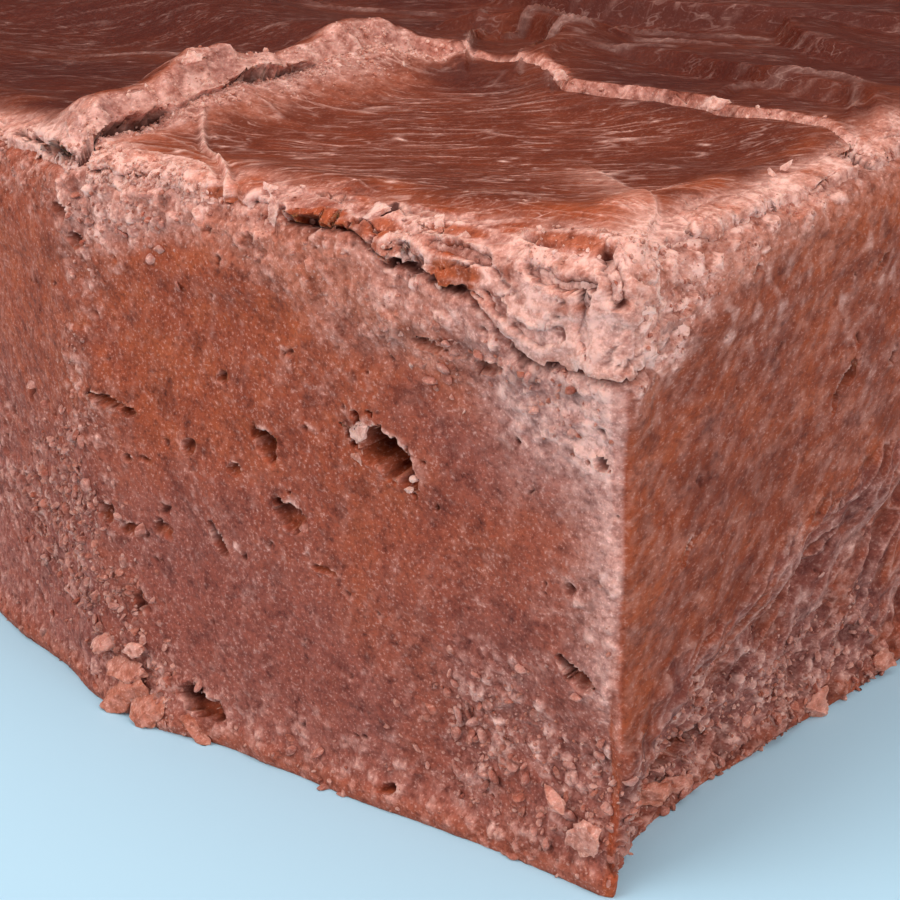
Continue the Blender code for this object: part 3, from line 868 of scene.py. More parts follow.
@dataclass(frozen=True)
class SkinRelief:
    """The fine surface of the top skin: satin plates, wrinkles, crumbling crests and cracks."""

    form: SlabForm
    grain_run: tuple[float, float] = (0.785, 0.619)
    ridge_line: Crest = Crest(((7.0, -22.6, 0.3), (9.6, -25.2, 0.4), (13.0, -27.6, 0.4), (16.4, -30.6, 0.4)))
    rim_cracks: tuple[Crest, ...] = (
        Crest(((0.5, 0.6, 0.2), (2.5, 0.8, 0.4), (4.4, 1.1, 0.5), (6.3, 1.2, 0.3))),
        Crest(((25.9, 1.5, 0.35), (27.2, 1.6, 0.4), (28.4, 1.8, 0.3))),
        Crest(((30.2, 1.7, 0.3), (30.8, 2.0, 0.45), (31.8, 2.1, 0.3), (33.0, 2.0, 0.3))),
        Crest(((32.7, 2.5, 0.3), (32.6, 3.4, 0.6), (32.8, 4.4, 0.4))),
        Crest(((17.0, 1.3, 0.2), (17.8, 1.5, 0.45), (18.4, 1.4, 0.3))),
        Crest(((22.4, 1.2, 0.4), (22.9, 0.6, 0.3), (23.3, 0.2, 0.1))),
        Crest(((28.8, 2.9, 0.3), (29.7, 3.6, 0.5), (30.8, 4.1, 0.5), (31.7, 3.9, 0.3))),
        Crest(((33.0, 0.9, 0.4), (33.5, 1.7, 0.5), (33.9, 2.4, 0.3))),
        Crest(((24.2, 1.9, 0.3), (25.0, 2.0, 0.4), (25.6, 2.3, 0.3))),
    )
    rim_eyes: tuple[tuple[float, float, float, float], ...] = (
        (14.8, 1.3, 0.55, 0.45), (15.9, 1.7, 0.6, 0.4), (23.5, 1.25, 0.8, 0.42), (26.6, 0.8, 1.4, 0.36),
        (31.6, 0.7, 1.7, 0.42), (27.4, 2.3, 1.2, 0.3))
    arcs: tuple[Crest, ...] = (
        Crest(((7.8, -29.9, 0.2), (9.4, -28.6, 0.25), (11.5, -28.0, 0.25), (13.5, -28.8, 0.2),
               (15.0, -30.2, 0.15))),
        Crest(((8.2, -30.3, 0.15), (10.2, -29.4, 0.2), (12.3, -29.1, 0.2), (14.0, -30.3, 0.15))),
        Crest(((7.4, -29.2, 0.15), (8.6, -27.7, 0.2), (10.2, -26.9, 0.2), (12.6, -27.2, 0.1))),
        Crest(((7.0, -26.7, 0.15), (8.4, -25.9, 0.2), (10.0, -25.9, 0.1))),
    )
    # Places where the skin glints, painted as pale spots.
    painted_glints: tuple[tuple[float, float], ...] = (
        (29.7, -24.4), (31.8, -15.3), (32.4, -17.4), (20.7, -19.1), (26.1, -12.3), (14.4, -18.0), (21.3, -27.1),
        (21.5, 5.9), (24.2, 8.7), (13.2, 15.7), (-22.0, -4.9), (-8.9, -11.9), (-3.8, -14.3))
    crease: Crest = Crest(((25.8, -19.4, 0.1), (29.3, -22.5, 0.3), (31.9, -25.1, 0.4), (33.2, -27.8, 0.3)))
    rear_edges: tuple[Crest, ...] = (
        Crest(((14.9, -7.6, 0.3), (12.3, -3.7, 0.4), (12.0, -0.5, 0.3), (15.5, 2.2, 0.2))),
        Crest(((23.8, -7.2, 0.3), (23.3, -3.5, 0.4), (27.2, -1.9, 0.4), (29.1, -4.5, 0.4), (30.8, -8.6, 0.3))),
        Crest(((8.7, -5.9, 0.5), (6.0, -2.0, 0.6), (3.8, 1.5, 0.6), (0.2, 7.2, 0.4))),
        Crest(((11.9, -5.9, 0.4), (10.0, -2.0, 0.6), (8.7, 0.9, 0.6), (10.9, 4.5, 0.4), (16.0, 7.0, 0.2))),
        Crest(((5.0, 2.2, 0.5), (5.5, 6.0, 0.6), (9.5, 9.5, 0.4), (16.0, 11.5, 0.2))),
        Crest(((-20.0, -12.5, 0.1), (-12.0, -9.0, 0.15), (-4.0, -10.5, 0.15), (2.0, -14.5, 0.1))),
        Crest(((-28.0, 8.0, 0.2), (-16.0, 7.0, 0.35), (-6.0, 10.0, 0.3), (-2.0, 18.0, 0.2))),
    )

    def at(self, points: Array, edge: Array, wall: Array) -> Relief:
        """Relief and tones of the skin.

        Args:
            points: places.
            edge: distance inside the top's border, negative down the rim.
            wall: 1 on the torn wall and crest where one plate overlaps the other.

        Returns:
            The relief.
        """
        x, y, z = points.T
        tones = blank_tones(len(points))
        patch = lattice(points, 2.6, 20)
        rim = 1.0 - smooth(-0.6, 1.5, edge + 0.8 * patch)
        fine = lattice(points, 0.35, 22)
        left_front = (1 - smooth(12.0, 17.0, x)) * (1 - smooth(-29.5, -26.5, y)) * smooth(4.0, 6.5, x)
        corner = smooth(27.5, 30.0, x) * smooth(-26.0, -29.0, y) * smooth(-0.6, 0.2, patch)
        crumble = np.max([wall, 0.6 * rim * smooth(-0.4, 0.6, patch), left_front * rim, 0.9 * corner * rim],
                         axis=0)
        crumble = np.clip(crumble, 0.0, 1.0)
        offset = 0.015 * lattice(points, 0.9, 21) + (0.008 + 0.03 * crumble) * fine
        offset += self._wrinkles(points, rim, tones)
        offset += self._plates(points, rim, edge, tones)
        offset += self._lines(x, y, patch, tones)
        warp = points + 0.12 * np.column_stack([lattice(points, 0.5, 123 + k) for k in range(3)])
        near, next_near, owner = cells(warp, 0.4, 23)
        grain = smooth(0.02, 0.35, next_near - near)
        offset += crumble * (0.02 * (grain - 0.6) + 0.06 * (owner - 0.45) * grain)
        _, _, chunk = cells(warp, 1.2, 24)
        offset += crumble * 0.16 * (chunk - 0.5)
        blotch = lattice(points, 0.8, 41) + 0.5 * fine
        tones[PALE] += crumble * (0.38 + 0.3 * smooth(0.3, 0.9, owner) + 0.3 * patch) + 0.25 * rim * blotch
        rim_pale = 0.34 + 0.18 * smooth(28.5, 31.5, x) + 0.12 * smooth(14.0, 11.0, x)
        rim_pale -= 0.4 * hump(x, 24.5, 6.0) * smooth(-26.0, -28.0, y)
        eyes = rim * smooth(0.0, 0.5, lattice(points, 1.5, 98))
        tones[WARM] += 0.5 * eyes
        rim_pale -= 0.22 * eyes
        tones[PALE] += rim_pale * rim + 0.35 * wall * smooth(0.1, 0.5, lattice(points, 1.1, 25))
        tones[ROSE] += wall * (0.3 + 0.5 * smooth(0.0, 0.6, -patch))
        tones[DARK] += 0.12 * crumble * smooth(0.3, 0.0, owner)
        tones[SKIN] += np.clip(1.0 - 1.1 * rim - 1.2 * wall, 0.0, 1.0)
        # Painted shade: the skin darkened over its far part and over a patch at its right.
        far = np.maximum(smooth(6.0, -1.0, x), smooth(-11.0, -7.0, y))
        far = np.maximum(0.68 * far, 0.3 * smooth(23.0, 28.0, x) * smooth(-22.0, -16.0, y))
        tones[DARK] += tones[SKIN] * (far + 0.16 * smooth(-0.3, 0.6, lattice(points, 6.0, 27)))
        tones[WARM] += hump(edge, 1.6, 1.2) * 0.7 * smooth(-0.3, 0.5, patch) + 0.5 * hump(wall, 0.3, 0.25)
        offset += self._rim_marks(points, edge, tones)
        for tone in Tone:
            tones[tone] = np.clip(tones[tone], 0.0, 1.0)
        return Relief(offset, tones, crumble)

    def _rim_marks(self, points: Array, edge: Array, tones: Tones) -> Array:
        """The front rim's cracks, and the brown eyes in its plates.

        Args:
            points: places.
            edge: distance inside the top's border.
            tones: tones to add to.

        Returns:
            Offset of the surface.
        """
        x, y, _ = points.T
        on = smooth(-27.0, -28.2, y) * (smooth(12.0, 14.0, x) + smooth(6.8, 6.2, x))
        drop = -edge
        ragged = 0.1 * lattice(points, 0.5, 37) + 0.12 * blocks(points, 0.45, 38)
        gape = 0.12 * (1 + 1.5 * lattice(points, 0.8, 28))
        offset = np.zeros(len(points))
        for crack in self.rim_cracks:
            away, _, depth, _ = crack.near(x, drop)
            groove = on * hump(np.maximum(away + ragged - 0.05, 0.0), 0.0, gape)
            lip = on * hump(away, 0.35, 0.2)
            offset += lip * 0.12 - groove * depth * 1.3
            # Painted shade in the crack.
            tones[DARK] += 0.95 * smooth(0.25, 0.7, groove)
            tones[PALE] += 0.4 * lip
        for along, down, wide, high in self.rim_eyes:
            reach = np.hypot((x - along) / wide, (drop - down) / high) * (1 + 1.2 * ragged)
            eye = on * smooth(1.1, 0.75, reach)
            border = on * hump(reach, 1.25, 0.25)
            offset += 0.05 * border - 0.02 * eye
            tones[WARM] += 0.75 * eye
            tones[PALE] = tones[PALE] * (1 - 0.85 * eye) + 0.35 * border
        return offset

    def _wrinkles(self, points: Array, rim: Array, tones: Tones) -> Array:
        """Fine wrinkles drawn out along the way the skin was dragged, in bands.

        Args:
            points: places.
            rim: 1 on the rim, 0 inside it.
            tones: tones to add to.

        Returns:
            Offset of the surface.
        """
        x, y, _ = points.T
        run_x, run_y = self.grain_run
        along = x * run_x + y * run_y
        across = -x * run_y + y * run_x
        bend = 0.5 * lattice(points, 5.0, 30) + 0.12 * lattice(points, 1.3, 35)
        drawn = np.column_stack([along / 9.0, across + bend, 0 * x])
        offset = np.zeros(len(points))
        for size, height, seed in ((1.9, 0.06, 31), (0.9, 0.035, 33)):
            sheet = lattice(drawn, (1.0, size, 1.0), seed)
            shown = (smooth(-0.3, 0.3, lattice(points, 3.5, seed + 1))
                     * (0.6 + 0.5 * lattice(points, 0.7, seed + 2)))
            line = smooth(0.05, 0.0, np.abs(sheet)) * shown
            offset += height * line
            # Pale on the wrinkles' crests: painted highlights.
            tones[PALE] += 0.6 * line
        edge_run = np.column_stack([x / 5.0, y + 0.3 * lattice(points, 2.0, 34), 0 * x])
        terrace = smooth(0.05, 0.0, np.abs(lattice(edge_run, (1.0, 0.75, 1.0), 42)))
        terrace *= hump(y, -27.2, 2.0) * smooth(15.0, 20.0, x) * smooth(-0.4, 0.3, lattice(points, 1.6, 43))
        offset += 0.05 * terrace
        tones[PALE] += 0.5 * terrace
        # Short pale flecks drawn out along the run: painted highlights.
        flecks = lattice(np.column_stack([along / 1.5, across / 0.22, 0 * x]), 1.0, 36)
        tones[PALE] += 0.2 * smooth(0.6, 0.85, flecks)
        # Painted highlights: a pale spot at each glint.
        for spot_x, spot_y in self.painted_glints:
            tones[PALE] += hump(x, spot_x, 0.25) * hump(y, spot_y, 0.14)
        return offset * (1 - 0.5 * rim)

    def _plates(self, points: Array, rim: Array, edge: Array, tones: Tones) -> Array:
        """The rim's broken plates, overlapping like scales, with brown middles and pale edges.

        Args:
            points: places.
            rim: 1 on the rim, 0 inside it.
            edge: distance inside the top's border.
            tones: tones to add to.

        Returns:
            Offset of the surface.
        """
        x, y, _ = points.T
        warp = points + np.column_stack([0.3 * lattice(points, 0.9, 26 + k) for k in range(3)])
        front = smooth(-27.5, -29.0, y)
        offset = np.zeros(len(points))
        for size, seed, on in (((4.0, 1.2, 1.3), 29, front), ((1.3, 3.4, 1.3), 129, 1.0 - front)):
            near, next_near, owner = cells(warp, size, seed)
            shared = rim * on
            plate = smooth(0.0, 0.1, next_near - near)
            split = shared * smooth(0.05, 0.0, next_near - near) * smooth(-0.1, 0.4, lattice(points, 2.4, 39))
            offset += shared * 0.3 * (owner - 0.5) * plate - 0.3 * split
            middle = (shared * smooth(0.2, 0.5, next_near - near) * hump(edge, -0.6, 1.4)
                      * smooth(0.25, 0.6, owner))
            tones[WARM] += 0.6 * middle
            tones[PALE] += shared * (0.3 * smooth(0.2, 0.03, next_near - near) + 0.35 * (0.5 - owner))
            tones[ROSE] += 0.5 * shared * smooth(0.5, 0.2, owner)
            # Painted shade in the splits between plates.
            tones[DARK] += 0.8 * split
        return offset

    def _lines(self, x: Array, y: Array, patch: Array, tones: Tones) -> Array:
        """The thin upstanding ridge, the crease and the edges of the small rear plates.

        Args:
            x: places along X.
            y: places along Y.
            patch: broad noise that breaks up lines.
            tones: tones to add to.

        Returns:
            Offset of the surface.
        """
        away, side, height, _ = self.crease.near(x, y)
        step = smooth(0.18, -0.18, away * np.sign(side)) * hump(away, 0.0, 3.0)
        offset = height * (0.7 * step - 0.15 * hump(away, 0.0, 0.12))
        tones[PALE] += 0.4 * hump(away, 0.1, 0.12) + 0.25 * step * hump(away, 0.6, 1.0)
        tones[WARM] += 0.4 * step * hump(away, 0.0, 2.2)
        away, _, height, _ = self.ridge_line.near(x, y)
        offset += 0.6 * height * (hump(away, 0.0, 0.11) - 0.35 * hump(away, 0.26, 0.12))
        tones[PALE] += 0.6 * hump(away, 0.0, 0.15) * smooth(-0.8, 0.2, patch)
        for arc in self.arcs:
            away, side, height, _ = arc.near(x, y)
            offset += (height
                       * (0.4 * hump(away, 0.0, 0.16) + 0.6 * hump(away, 0.2, 0.5) * smooth(0.3, -0.3, side)))
            tones[PALE] += 0.45 * hump(away, 0.0, 0.14)
            tones[WARM] += 0.3 * hump(away, 0.4, 0.5)
        for line in self.rear_edges:
            away, side, height, _ = line.near(x, y)
            offset += (height
                       * (0.35 * hump(away, 0.0, 0.16) + 0.5 * hump(away, 0.3, 0.9) * smooth(-0.2, 0.2, side)))
            tones[PALE] += 0.7 * hump(away, 0.0, 0.18) * smooth(-0.4, 0.5, patch)
            tones[WARM] += 0.3 * hump(away, 1.0, 0.9)
        return offset


# ---- Finishes ----


def srgb(red: int, green: int, blue: int) -> tuple[float, float, float, float]:
    """A colour picker's red, green and blue (0 to 255) as the linear colour that a shader takes.

    Args:
        red: red, 0 to 255.
        green: green, 0 to 255.
        blue: blue, 0 to 255.

    Returns:
        Red, green, blue and alpha.
    """
    values = []
    for channel in (red, green, blue):
        c = channel / 255.0
        values.append(c / 12.92 if c <= 0.04045 else ((c + 0.055) / 1.055) ** 2.4)
    return (*values, 1.0)


class Sock:
    """A socket that Python's arithmetic works on; each operation adds a Math node."""

    def __init__(self, kit: "Shader", socket: Any) -> None:
        self.kit = kit
        self.socket = socket

    def _math(self, operation: str, first: Any, second: Any) -> "Sock":
        """The result of a Math node with this operation."""
        return self.kit.node("ShaderNodeMath", {"operation": operation}, {0: first, 1: second})

    def __add__(self, other: Any) -> "Sock":
        """self + other."""
        return self._math("ADD", self, other)

    def __radd__(self, other: Any) -> "Sock":
        """other + self."""
        return self._math("ADD", other, self)

    def __sub__(self, other: Any) -> "Sock":
        """self - other."""
        return self._math("SUBTRACT", self, other)

    def __rsub__(self, other: Any) -> "Sock":
        """other - self."""
        return self._math("SUBTRACT", other, self)

    def __mul__(self, other: Any) -> "Sock":
        """self * other."""
        return self._math("MULTIPLY", self, other)

    def clipped(self) -> "Sock":
        """The value kept between 0 and 1."""
        return self.kit.node("ShaderNodeClamp", {}, {"Value": self})

    def step(self, low: float, high: float) -> "Sock":
        """0 below low, 1 above high, and an S curve between."""
        values = {"Value": self, "From Min": low, "From Max": high}
        return self.kit.node("ShaderNodeMapRange", {"interpolation_type": "SMOOTHSTEP"}, values)


class Shader:
    """A material's node tree, with one method that adds any node."""

    def __init__(self, name: str) -> None:
        """Starts a material called name with only its Principled BSDF.

        Args:
            name: its name.
        """
        self.material = bpy.data.materials.new(name)
        self.material.use_nodes = True
        self.tree = self.material.node_tree
        self.surface = self.tree.nodes["Principled BSDF"]

    def node(self, kind: str, settings: dict[str, Any], values: dict[Any, Any], out: Any = 0) -> Sock:
        """Adds a node.

        Args:
            kind: the node's type.
            settings: its properties, set first.
            values: its sockets' numbers or links, by name or number.
            out: which output to return.

        Returns:
            That output, wrapped.
        """
        made = self.tree.nodes.new(kind)
        for key, value in settings.items():
            setattr(made, key, value)
        for key, value in values.items():
            self._feed(made.inputs[key], value)
        return Sock(self, made.outputs[out])

    def _feed(self, socket: Any, value: Any) -> None:
        """Links a wrapped socket to an input, or sets the input's own value.

        Args:
            socket: the input.
            value: a wrapped socket, or the input's value.
        """
        if isinstance(value, Sock):
            self.tree.links.new(value.socket, socket)
        else:
            socket.default_value = value

    def set(self, **values: Any) -> None:
        """Sets or links the surface's sockets, named with _ for a space."""
        for key, value in values.items():
            self._feed(self.surface.inputs[key.replace("_", " ")], value)

    def tone(self, tone: Tone) -> Sock:
        """A tone of the mesh's vertices."""
        return self.node("ShaderNodeAttribute", {"attribute_name": tone.value}, {}, "Fac")

    def space(self, stretch: tuple[float, float, float] = (1, 1, 1),
              turn: tuple[float, float, float] = (0, 0, 0)) -> Sock:
        """Object coordinates in millimetres, turned (degrees) and then stretched.

        Args:
            stretch: how much longer features get along each axis.
            turn: turn about each axis, in degrees.

        Returns:
            The coordinates.
        """
        place = self.node("ShaderNodeTexCoord", {}, {}, "Object")
        angles = tuple(math.radians(a) for a in turn)
        sizes = tuple(1.0 / (MM * s) for s in stretch)
        turned = self.node("ShaderNodeMapping", {"vector_type": "POINT"}, {"Vector": place, "Rotation": angles})
        return self.node("ShaderNodeMapping", {"vector_type": "POINT"}, {"Vector": turned, "Scale": sizes})

    def noise(self, place: Sock, size: float, detail: float = 2.0, rough: float = 0.5) -> Sock:
        """Noise about size millimetres across, from 0 to 1."""
        return self.node("ShaderNodeTexNoise", {}, {"Vector": place, "Scale": 1.0 / size, "Detail": detail,
                                                    "Roughness": rough})

    def grains(self, place: Sock, size: float) -> Sock:
        """Distance from the middles of cells about size millimetres across."""
        return self.node("ShaderNodeTexVoronoi", {"feature": "F1"}, {"Vector": place, "Scale": 1.0 / size},
                         "Distance")

    def mix(self, amount: Any, first: Any, second: Any) -> Sock:
        """One colour where amount is 0 and the other where it is 1."""
        return self.node("ShaderNodeMix", {"data_type": "RGBA"}, {0: amount, 6: first, 7: second}, 2)

    def bump(self, height: Sock, depth: float) -> Sock:
        """A bumped normal; height 1 stands depth millimetres proud."""
        return self.node("ShaderNodeBump", {}, {"Height": height, "Strength": 1.0, "Distance": depth * MM})


@dataclass(frozen=True)
class FudgeFinish:
    """Fudge paste: fine sugar in fat, cut, torn or skinned over, as the tones say."""

    name: str = "fudge_paste"
    brown: tuple = srgb(156, 70, 44)
    rose: tuple = srgb(146, 78, 68)
    warm: tuple = srgb(182, 86, 48)
    pale: tuple = srgb(255, 198, 183)
    skin: tuple = srgb(98, 34, 15)
    dark: tuple = srgb(62, 12, 8)
    grain_stretch: tuple = (1.0, 1.7, 1.0)
    skin_stretch: tuple = (4.5, 0.8, 0.8)
    skin_turn: float = -38.3

    def material(self) -> Any:
        """Builds the material.

        Returns:
            The material.
        """
        kit = Shader(self.name)
        place = kit.space(self.grain_stretch)
        skin_run = kit.space(self.skin_stretch, (0.0, 0.0, self.skin_turn))
        pale, dark, skin = kit.tone(PALE), kit.tone(DARK), kit.tone(SKIN)
        warm, rose = kit.tone(WARM), kit.tone(ROSE)
        broad = kit.noise(place, 3.0, 1.0, 0.6)
        fine = kit.noise(place, 0.32, 3.0, 0.65)
        grain = kit.grains(place, 0.28)
        speck = kit.noise(place, 0.13, 1.0, 0.7)
        cloud = kit.noise(place, 1.1, 2.0, 0.65)
        wave, ripples = kit.noise(skin_run, 1.9, 2.0, 0.55), kit.noise(skin_run, 0.8, 1.0, 0.5)
        # Thin wavy pale lines on the satin skin: painted highlights along its wrinkles.
        lines = (wave.step(0.485, 0.5) * wave.step(0.515, 0.5)
                 + ripples.step(0.47, 0.5) * ripples.step(0.53, 0.5) * 0.7)
        satin = skin.step(0.55, 0.95)
        lines = lines * cloud.step(0.42, 0.6) * satin
        patches = broad.step(0.35, 0.7) * 0.4 + cloud.step(0.5, 0.68) * 0.4
        colour = kit.mix(patches.clipped(), self.brown, self.warm)
        colour = kit.mix((rose * (0.5 + broad)).clipped(), colour, self.rose)
        film = skin * (0.8 + fine * 0.3) - satin * ripples.step(0.52, 0.7) * 0.2
        colour = kit.mix(film.clipped(), colour, self.skin)
        colour = kit.mix((warm * (0.4 + fine * 0.8)).clipped(), colour, self.warm)
        flecks = speck.step(0.56, 0.74) * (1.0 - skin * 0.6) * 0.32
        flecks = flecks + fine.step(0.6, 0.8) * (1.0 - skin * 0.8) * 0.3 + lines * 0.42
        powder = (pale * (0.5 + fine.step(0.3, 0.65) * 0.6) + flecks).clipped()
        colour = kit.mix((powder * 0.85).clipped(), colour, self.pale)
        shade = fine.step(0.52, 0.32) * 0.3 + speck.step(0.48, 0.3) * 0.24 + cloud.step(0.5, 0.3) * 0.36
        shade = shade * (1.0 - skin * 0.5) * (1.0 - pale * 0.8)
        colour = kit.mix(shade.clipped(), colour, self.dark)
        # The dark tone: darker paste, and painted shade in cracks, pits, holes, under the crest and on the far
        # skin.
        colour = kit.mix((dark * 0.9).clipped(), colour, self.dark)
        relief = kit.bump(fine + (1.0 - grain.step(0.0, 0.9)) * (0.6 - skin * 0.5), 0.07)
        rough = 0.6 + fine * 0.14 - satin * 0.14 + pale * 0.15
        kit.set(Base_Color=colour, Roughness=rough.clipped(), Normal=relief, Specular_IOR_Level=0.16,
                Subsurface_Weight=0.3, Subsurface_Radius=(1.0, 0.5, 0.35), Subsurface_Scale=0.6 * MM)
        return kit.material


@dataclass(frozen=True)
class FloorFinish:
    """A plain pale blue sheet."""

    colour: tuple = srgb(184, 220, 240)

    def material(self) -> Any:
        """Builds the material.

        Returns:
            The material.
        """
        kit = Shader("pale_floor")
        kit.set(Base_Color=self.colour, Roughness=0.9, Specular_IOR_Level=0.2)
        return kit.material


# ---- Meshes ----


def deselect_all() -> None:
    """Leaves object mode ready with nothing selected."""
    bpy.ops.object.select_all(action="DESELECT")


def pick_vertices(piece: Any, chosen: Array) -> None:
    """Selects only these of a piece's vertices; called in object mode.

    Args:
        piece: the mesh object.
        chosen: numbers of the vertices.
    """
    mesh = piece.data
    flags = np.zeros(len(mesh.vertices), bool)
    flags[chosen] = True
    mesh.vertices.foreach_set("select", flags)
    mesh.edges.foreach_set("select", np.zeros(len(mesh.edges), bool))
    mesh.polygons.foreach_set("select", np.zeros(len(mesh.polygons), bool))


def cap(piece: Any, chosen: Array) -> None:
    """Closes a run of border vertices with one face.

    Args:
        piece: the mesh object.
        chosen: numbers of the vertices.
    """
    pick_vertices(piece, chosen)
    bpy.ops.object.mode_set(mode="EDIT")
    bpy.ops.mesh.select_mode(type="VERT")
    bpy.ops.mesh.edge_face_add()
    bpy.ops.object.mode_set(mode="OBJECT")


def new_grid(name: str, columns: int, rows: int) -> Any:
    """Adds a grid whose vertices run column by column, row after row.

    Args:
        name: its name.
        columns: vertices across.
        rows: vertices back.

    Returns:
        The grid's object.
    """
    deselect_all()
    bpy.ops.mesh.primitive_grid_add(x_subdivisions=columns - 1, y_subdivisions=rows - 1, size=1.0)
    piece = bpy.context.active_object
    piece.name = name
    piece.data.name = name
    if len(piece.data.vertices) != columns * rows:
        raise ValueError(f"{name}: the grid has {len(piece.data.vertices)} vertices")
    return piece


def set_shape(piece: Any, points: Array, tones: Tones) -> None:
    """Gives a piece's vertices their places, in millimetres, and their tones.

    Args:
        piece: the mesh object.
        points: places, n x 3, in millimetres.
        tones: each tone's value at each vertex.
    """
    piece.data.vertices.foreach_set("co", (points * MM).astype(np.float32).ravel())
    for tone, values in tones.items():
        layer = piece.data.attributes.new(tone.value, "FLOAT", "POINT")
        layer.data.foreach_set("value", np.clip(values, 0.0, 1.0).astype(np.float32))
    piece.data.update()


def finish_piece(piece: Any, material: Any, sharp: float = 75.0) -> Any:
    """Turns a piece's faces outward, shades it and makes it part of the fudge.

    Args:
        piece: the mesh object.
        material: the finish.
        sharp: angle above which edges stay sharp, in degrees.

    Returns:
        The piece.
    """
    deselect_all()
    piece.select_set(True)
    bpy.context.view_layer.objects.active = piece
    bpy.ops.object.mode_set(mode="EDIT")
    bpy.ops.mesh.select_all(action="SELECT")
    bpy.ops.mesh.normals_make_consistent(inside=False)
    bpy.ops.object.mode_set(mode="OBJECT")
    bpy.ops.object.shade_smooth_by_angle(angle=math.radians(sharp))
    piece.data.materials.clear()
    piece.data.materials.append(material)
    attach(piece, BODY)
    LOG.info("%s: %d triangles", piece.name, sum(len(f.vertices) - 2 for f in piece.data.polygons))
    return piece


def grid_normals(grid: Array) -> Array:
    """Unit normals of a grid of points (rows x columns x 3).

    Args:
        grid: points, rows x columns x 3.

    Returns:
        Normals, rows x columns x 3.
    """
    across = np.gradient(grid, axis=1)
    down = np.gradient(grid, axis=0)
    normal = np.cross(across, down)
    return normal / np.maximum(np.linalg.norm(normal, axis=2), 1e-12)[:, :, None]


def spread(count: int, length: float, spacing: Callable[[Array], Array]) -> Array:
    """count places from 0 to length, as far apart as spacing says, in proportion.

    Args:
        count: how many.
        length: the whole length, in millimetres.
        spacing: spacing wanted at each place.

    Returns:
        The places, in millimetres.
    """
    fine = np.linspace(0.0, length, 4000)
    total = np.concatenate([[0.0], np.cumsum(1.0 / spacing((fine[1:] + fine[:-1]) / 2))])
    return np.interp(np.linspace(0.0, total[-1], count), total, fine)


@dataclass
class CutSide:
    """One closed stretch of the slab's body, from its cut side in, capped top, bottom and back."""

    name: str
    form: SlabForm
    relief: CutRelief
    start: float
    end: float
    columns: int
    rows: int
    skin_cover: float = 0.6
    cap_inset: float = 2.4
    cap_height: float = 22.9
    wall_depth: float = 6.0
    surface: dict[str, Array] = field(default_factory=dict)

    def build(self, material: Any) -> Any:
        """Models the stretch and dresses it.

        Args:
            material: the finish.

        Returns:
            The piece.
        """
        form = self.form
        s = np.linspace(self.start, self.end, self.columns)
        base_path = float(form.path_at(0.0))
        path = np.linspace(self.skin_cover, base_path, self.rows - 1)
        grid_s, grid_path = np.meshgrid(s, path)
        points, normal = form.wall(grid_s.ravel(), grid_path.ravel())
        relief = self.relief.at(points, normal, grid_path.ravel())
        grid = points.reshape(self.rows - 1, self.columns, 3)
        facing = -grid_normals(grid).reshape(-1, 3)
        facing *= np.sign(np.sum(facing[:, :2] * normal, axis=1) + 1e-9)[:, None]
        on_base = smooth(0.0, 0.5, points[:, 2])
        shown = smooth(self.skin_cover, self.skin_cover + 1.3, grid_path.ravel())
        moved = (points + facing
                 * (relief.offset * shown * (0.25 + 0.75 * on_base) - 0.35 * (1 - shown))[:, None])
        moved[:, 2] = np.maximum(moved[:, 2], 0.0)
        moved[grid_path.ravel() >= base_path - 1e-6, 2] = 0.0
        hidden = self._hidden_row(s)
        rows, columns = self.rows, self.columns + 2
        whole = np.concatenate([hidden, moved]).reshape(rows, self.columns, 3)
        whole = np.concatenate([whole[:, :1], whole, whole[:, -1:]], axis=1)
        ends = self.ends()
        whole[:, 0, :2], whole[:, -1, :2] = ends[0], ends[1]
        piece = new_grid(self.name, columns, rows)
        tones = {}
        for tone, values in relief.tones.items():
            shown = np.pad(values.reshape(rows - 1, self.columns), ((1, 0), (1, 1)), mode="edge")
            tones[tone] = shown.ravel()
        set_shape(piece, whole.reshape(-1, 3), tones)
        row = np.arange(columns)
        cap(piece, row + (rows - 1) * columns)
        cap(piece, row)
        column = np.arange(rows) * columns
        cap(piece, np.concatenate([column, column + columns - 1]))
        self.surface = {"points": moved, "facing": facing, "crumble": relief.crumble}
        return finish_piece(piece, material)

    def ends(self) -> Array:
        """The two inner corners of the piece in plan, wall_depth behind its ends."""
        flat, _, soft = self.form.place(np.array([self.start, self.end]))
        return flat - soft * self.wall_depth

    def _hidden_row(self, s: Array) -> Array:
        """The body's upper border, sunk under the skin."""
        flat, _, soft = self.form.place(s)
        return np.column_stack([flat - soft * self.cap_inset, np.full(len(s), self.cap_height)])


def build_core(sides: Sequence[CutSide], material: Any) -> Any:
    """Fills the slab inside its side pieces with one plain block.

    Args:
        sides: the pieces to fill between.
        material: the finish.

    Returns:
        The piece.
    """
    corners = np.array([side.ends()[0] for side in sides])
    deselect_all()
    bpy.ops.mesh.primitive_cube_add(size=2.0)
    core = bpy.context.active_object
    core.name = "core"
    core.data.name = "core"
    order = {(-1, -1): 0, (1, -1): 1, (1, 1): 2, (-1, 1): 3}
    points = []
    for vert in core.data.vertices:
        flat = corners[order[round(vert.co.x), round(vert.co.y)]]
        points.append((*flat, 0.0 if vert.co.z < 0 else sides[0].cap_height))
    set_shape(core, np.array(points), blank_tones(len(points)))
    return finish_piece(core, material)


class Plate(Enum):
    """Which of the two plates of skin a sheet is."""

    UPPER = "upper"
    LOWER = "lower"


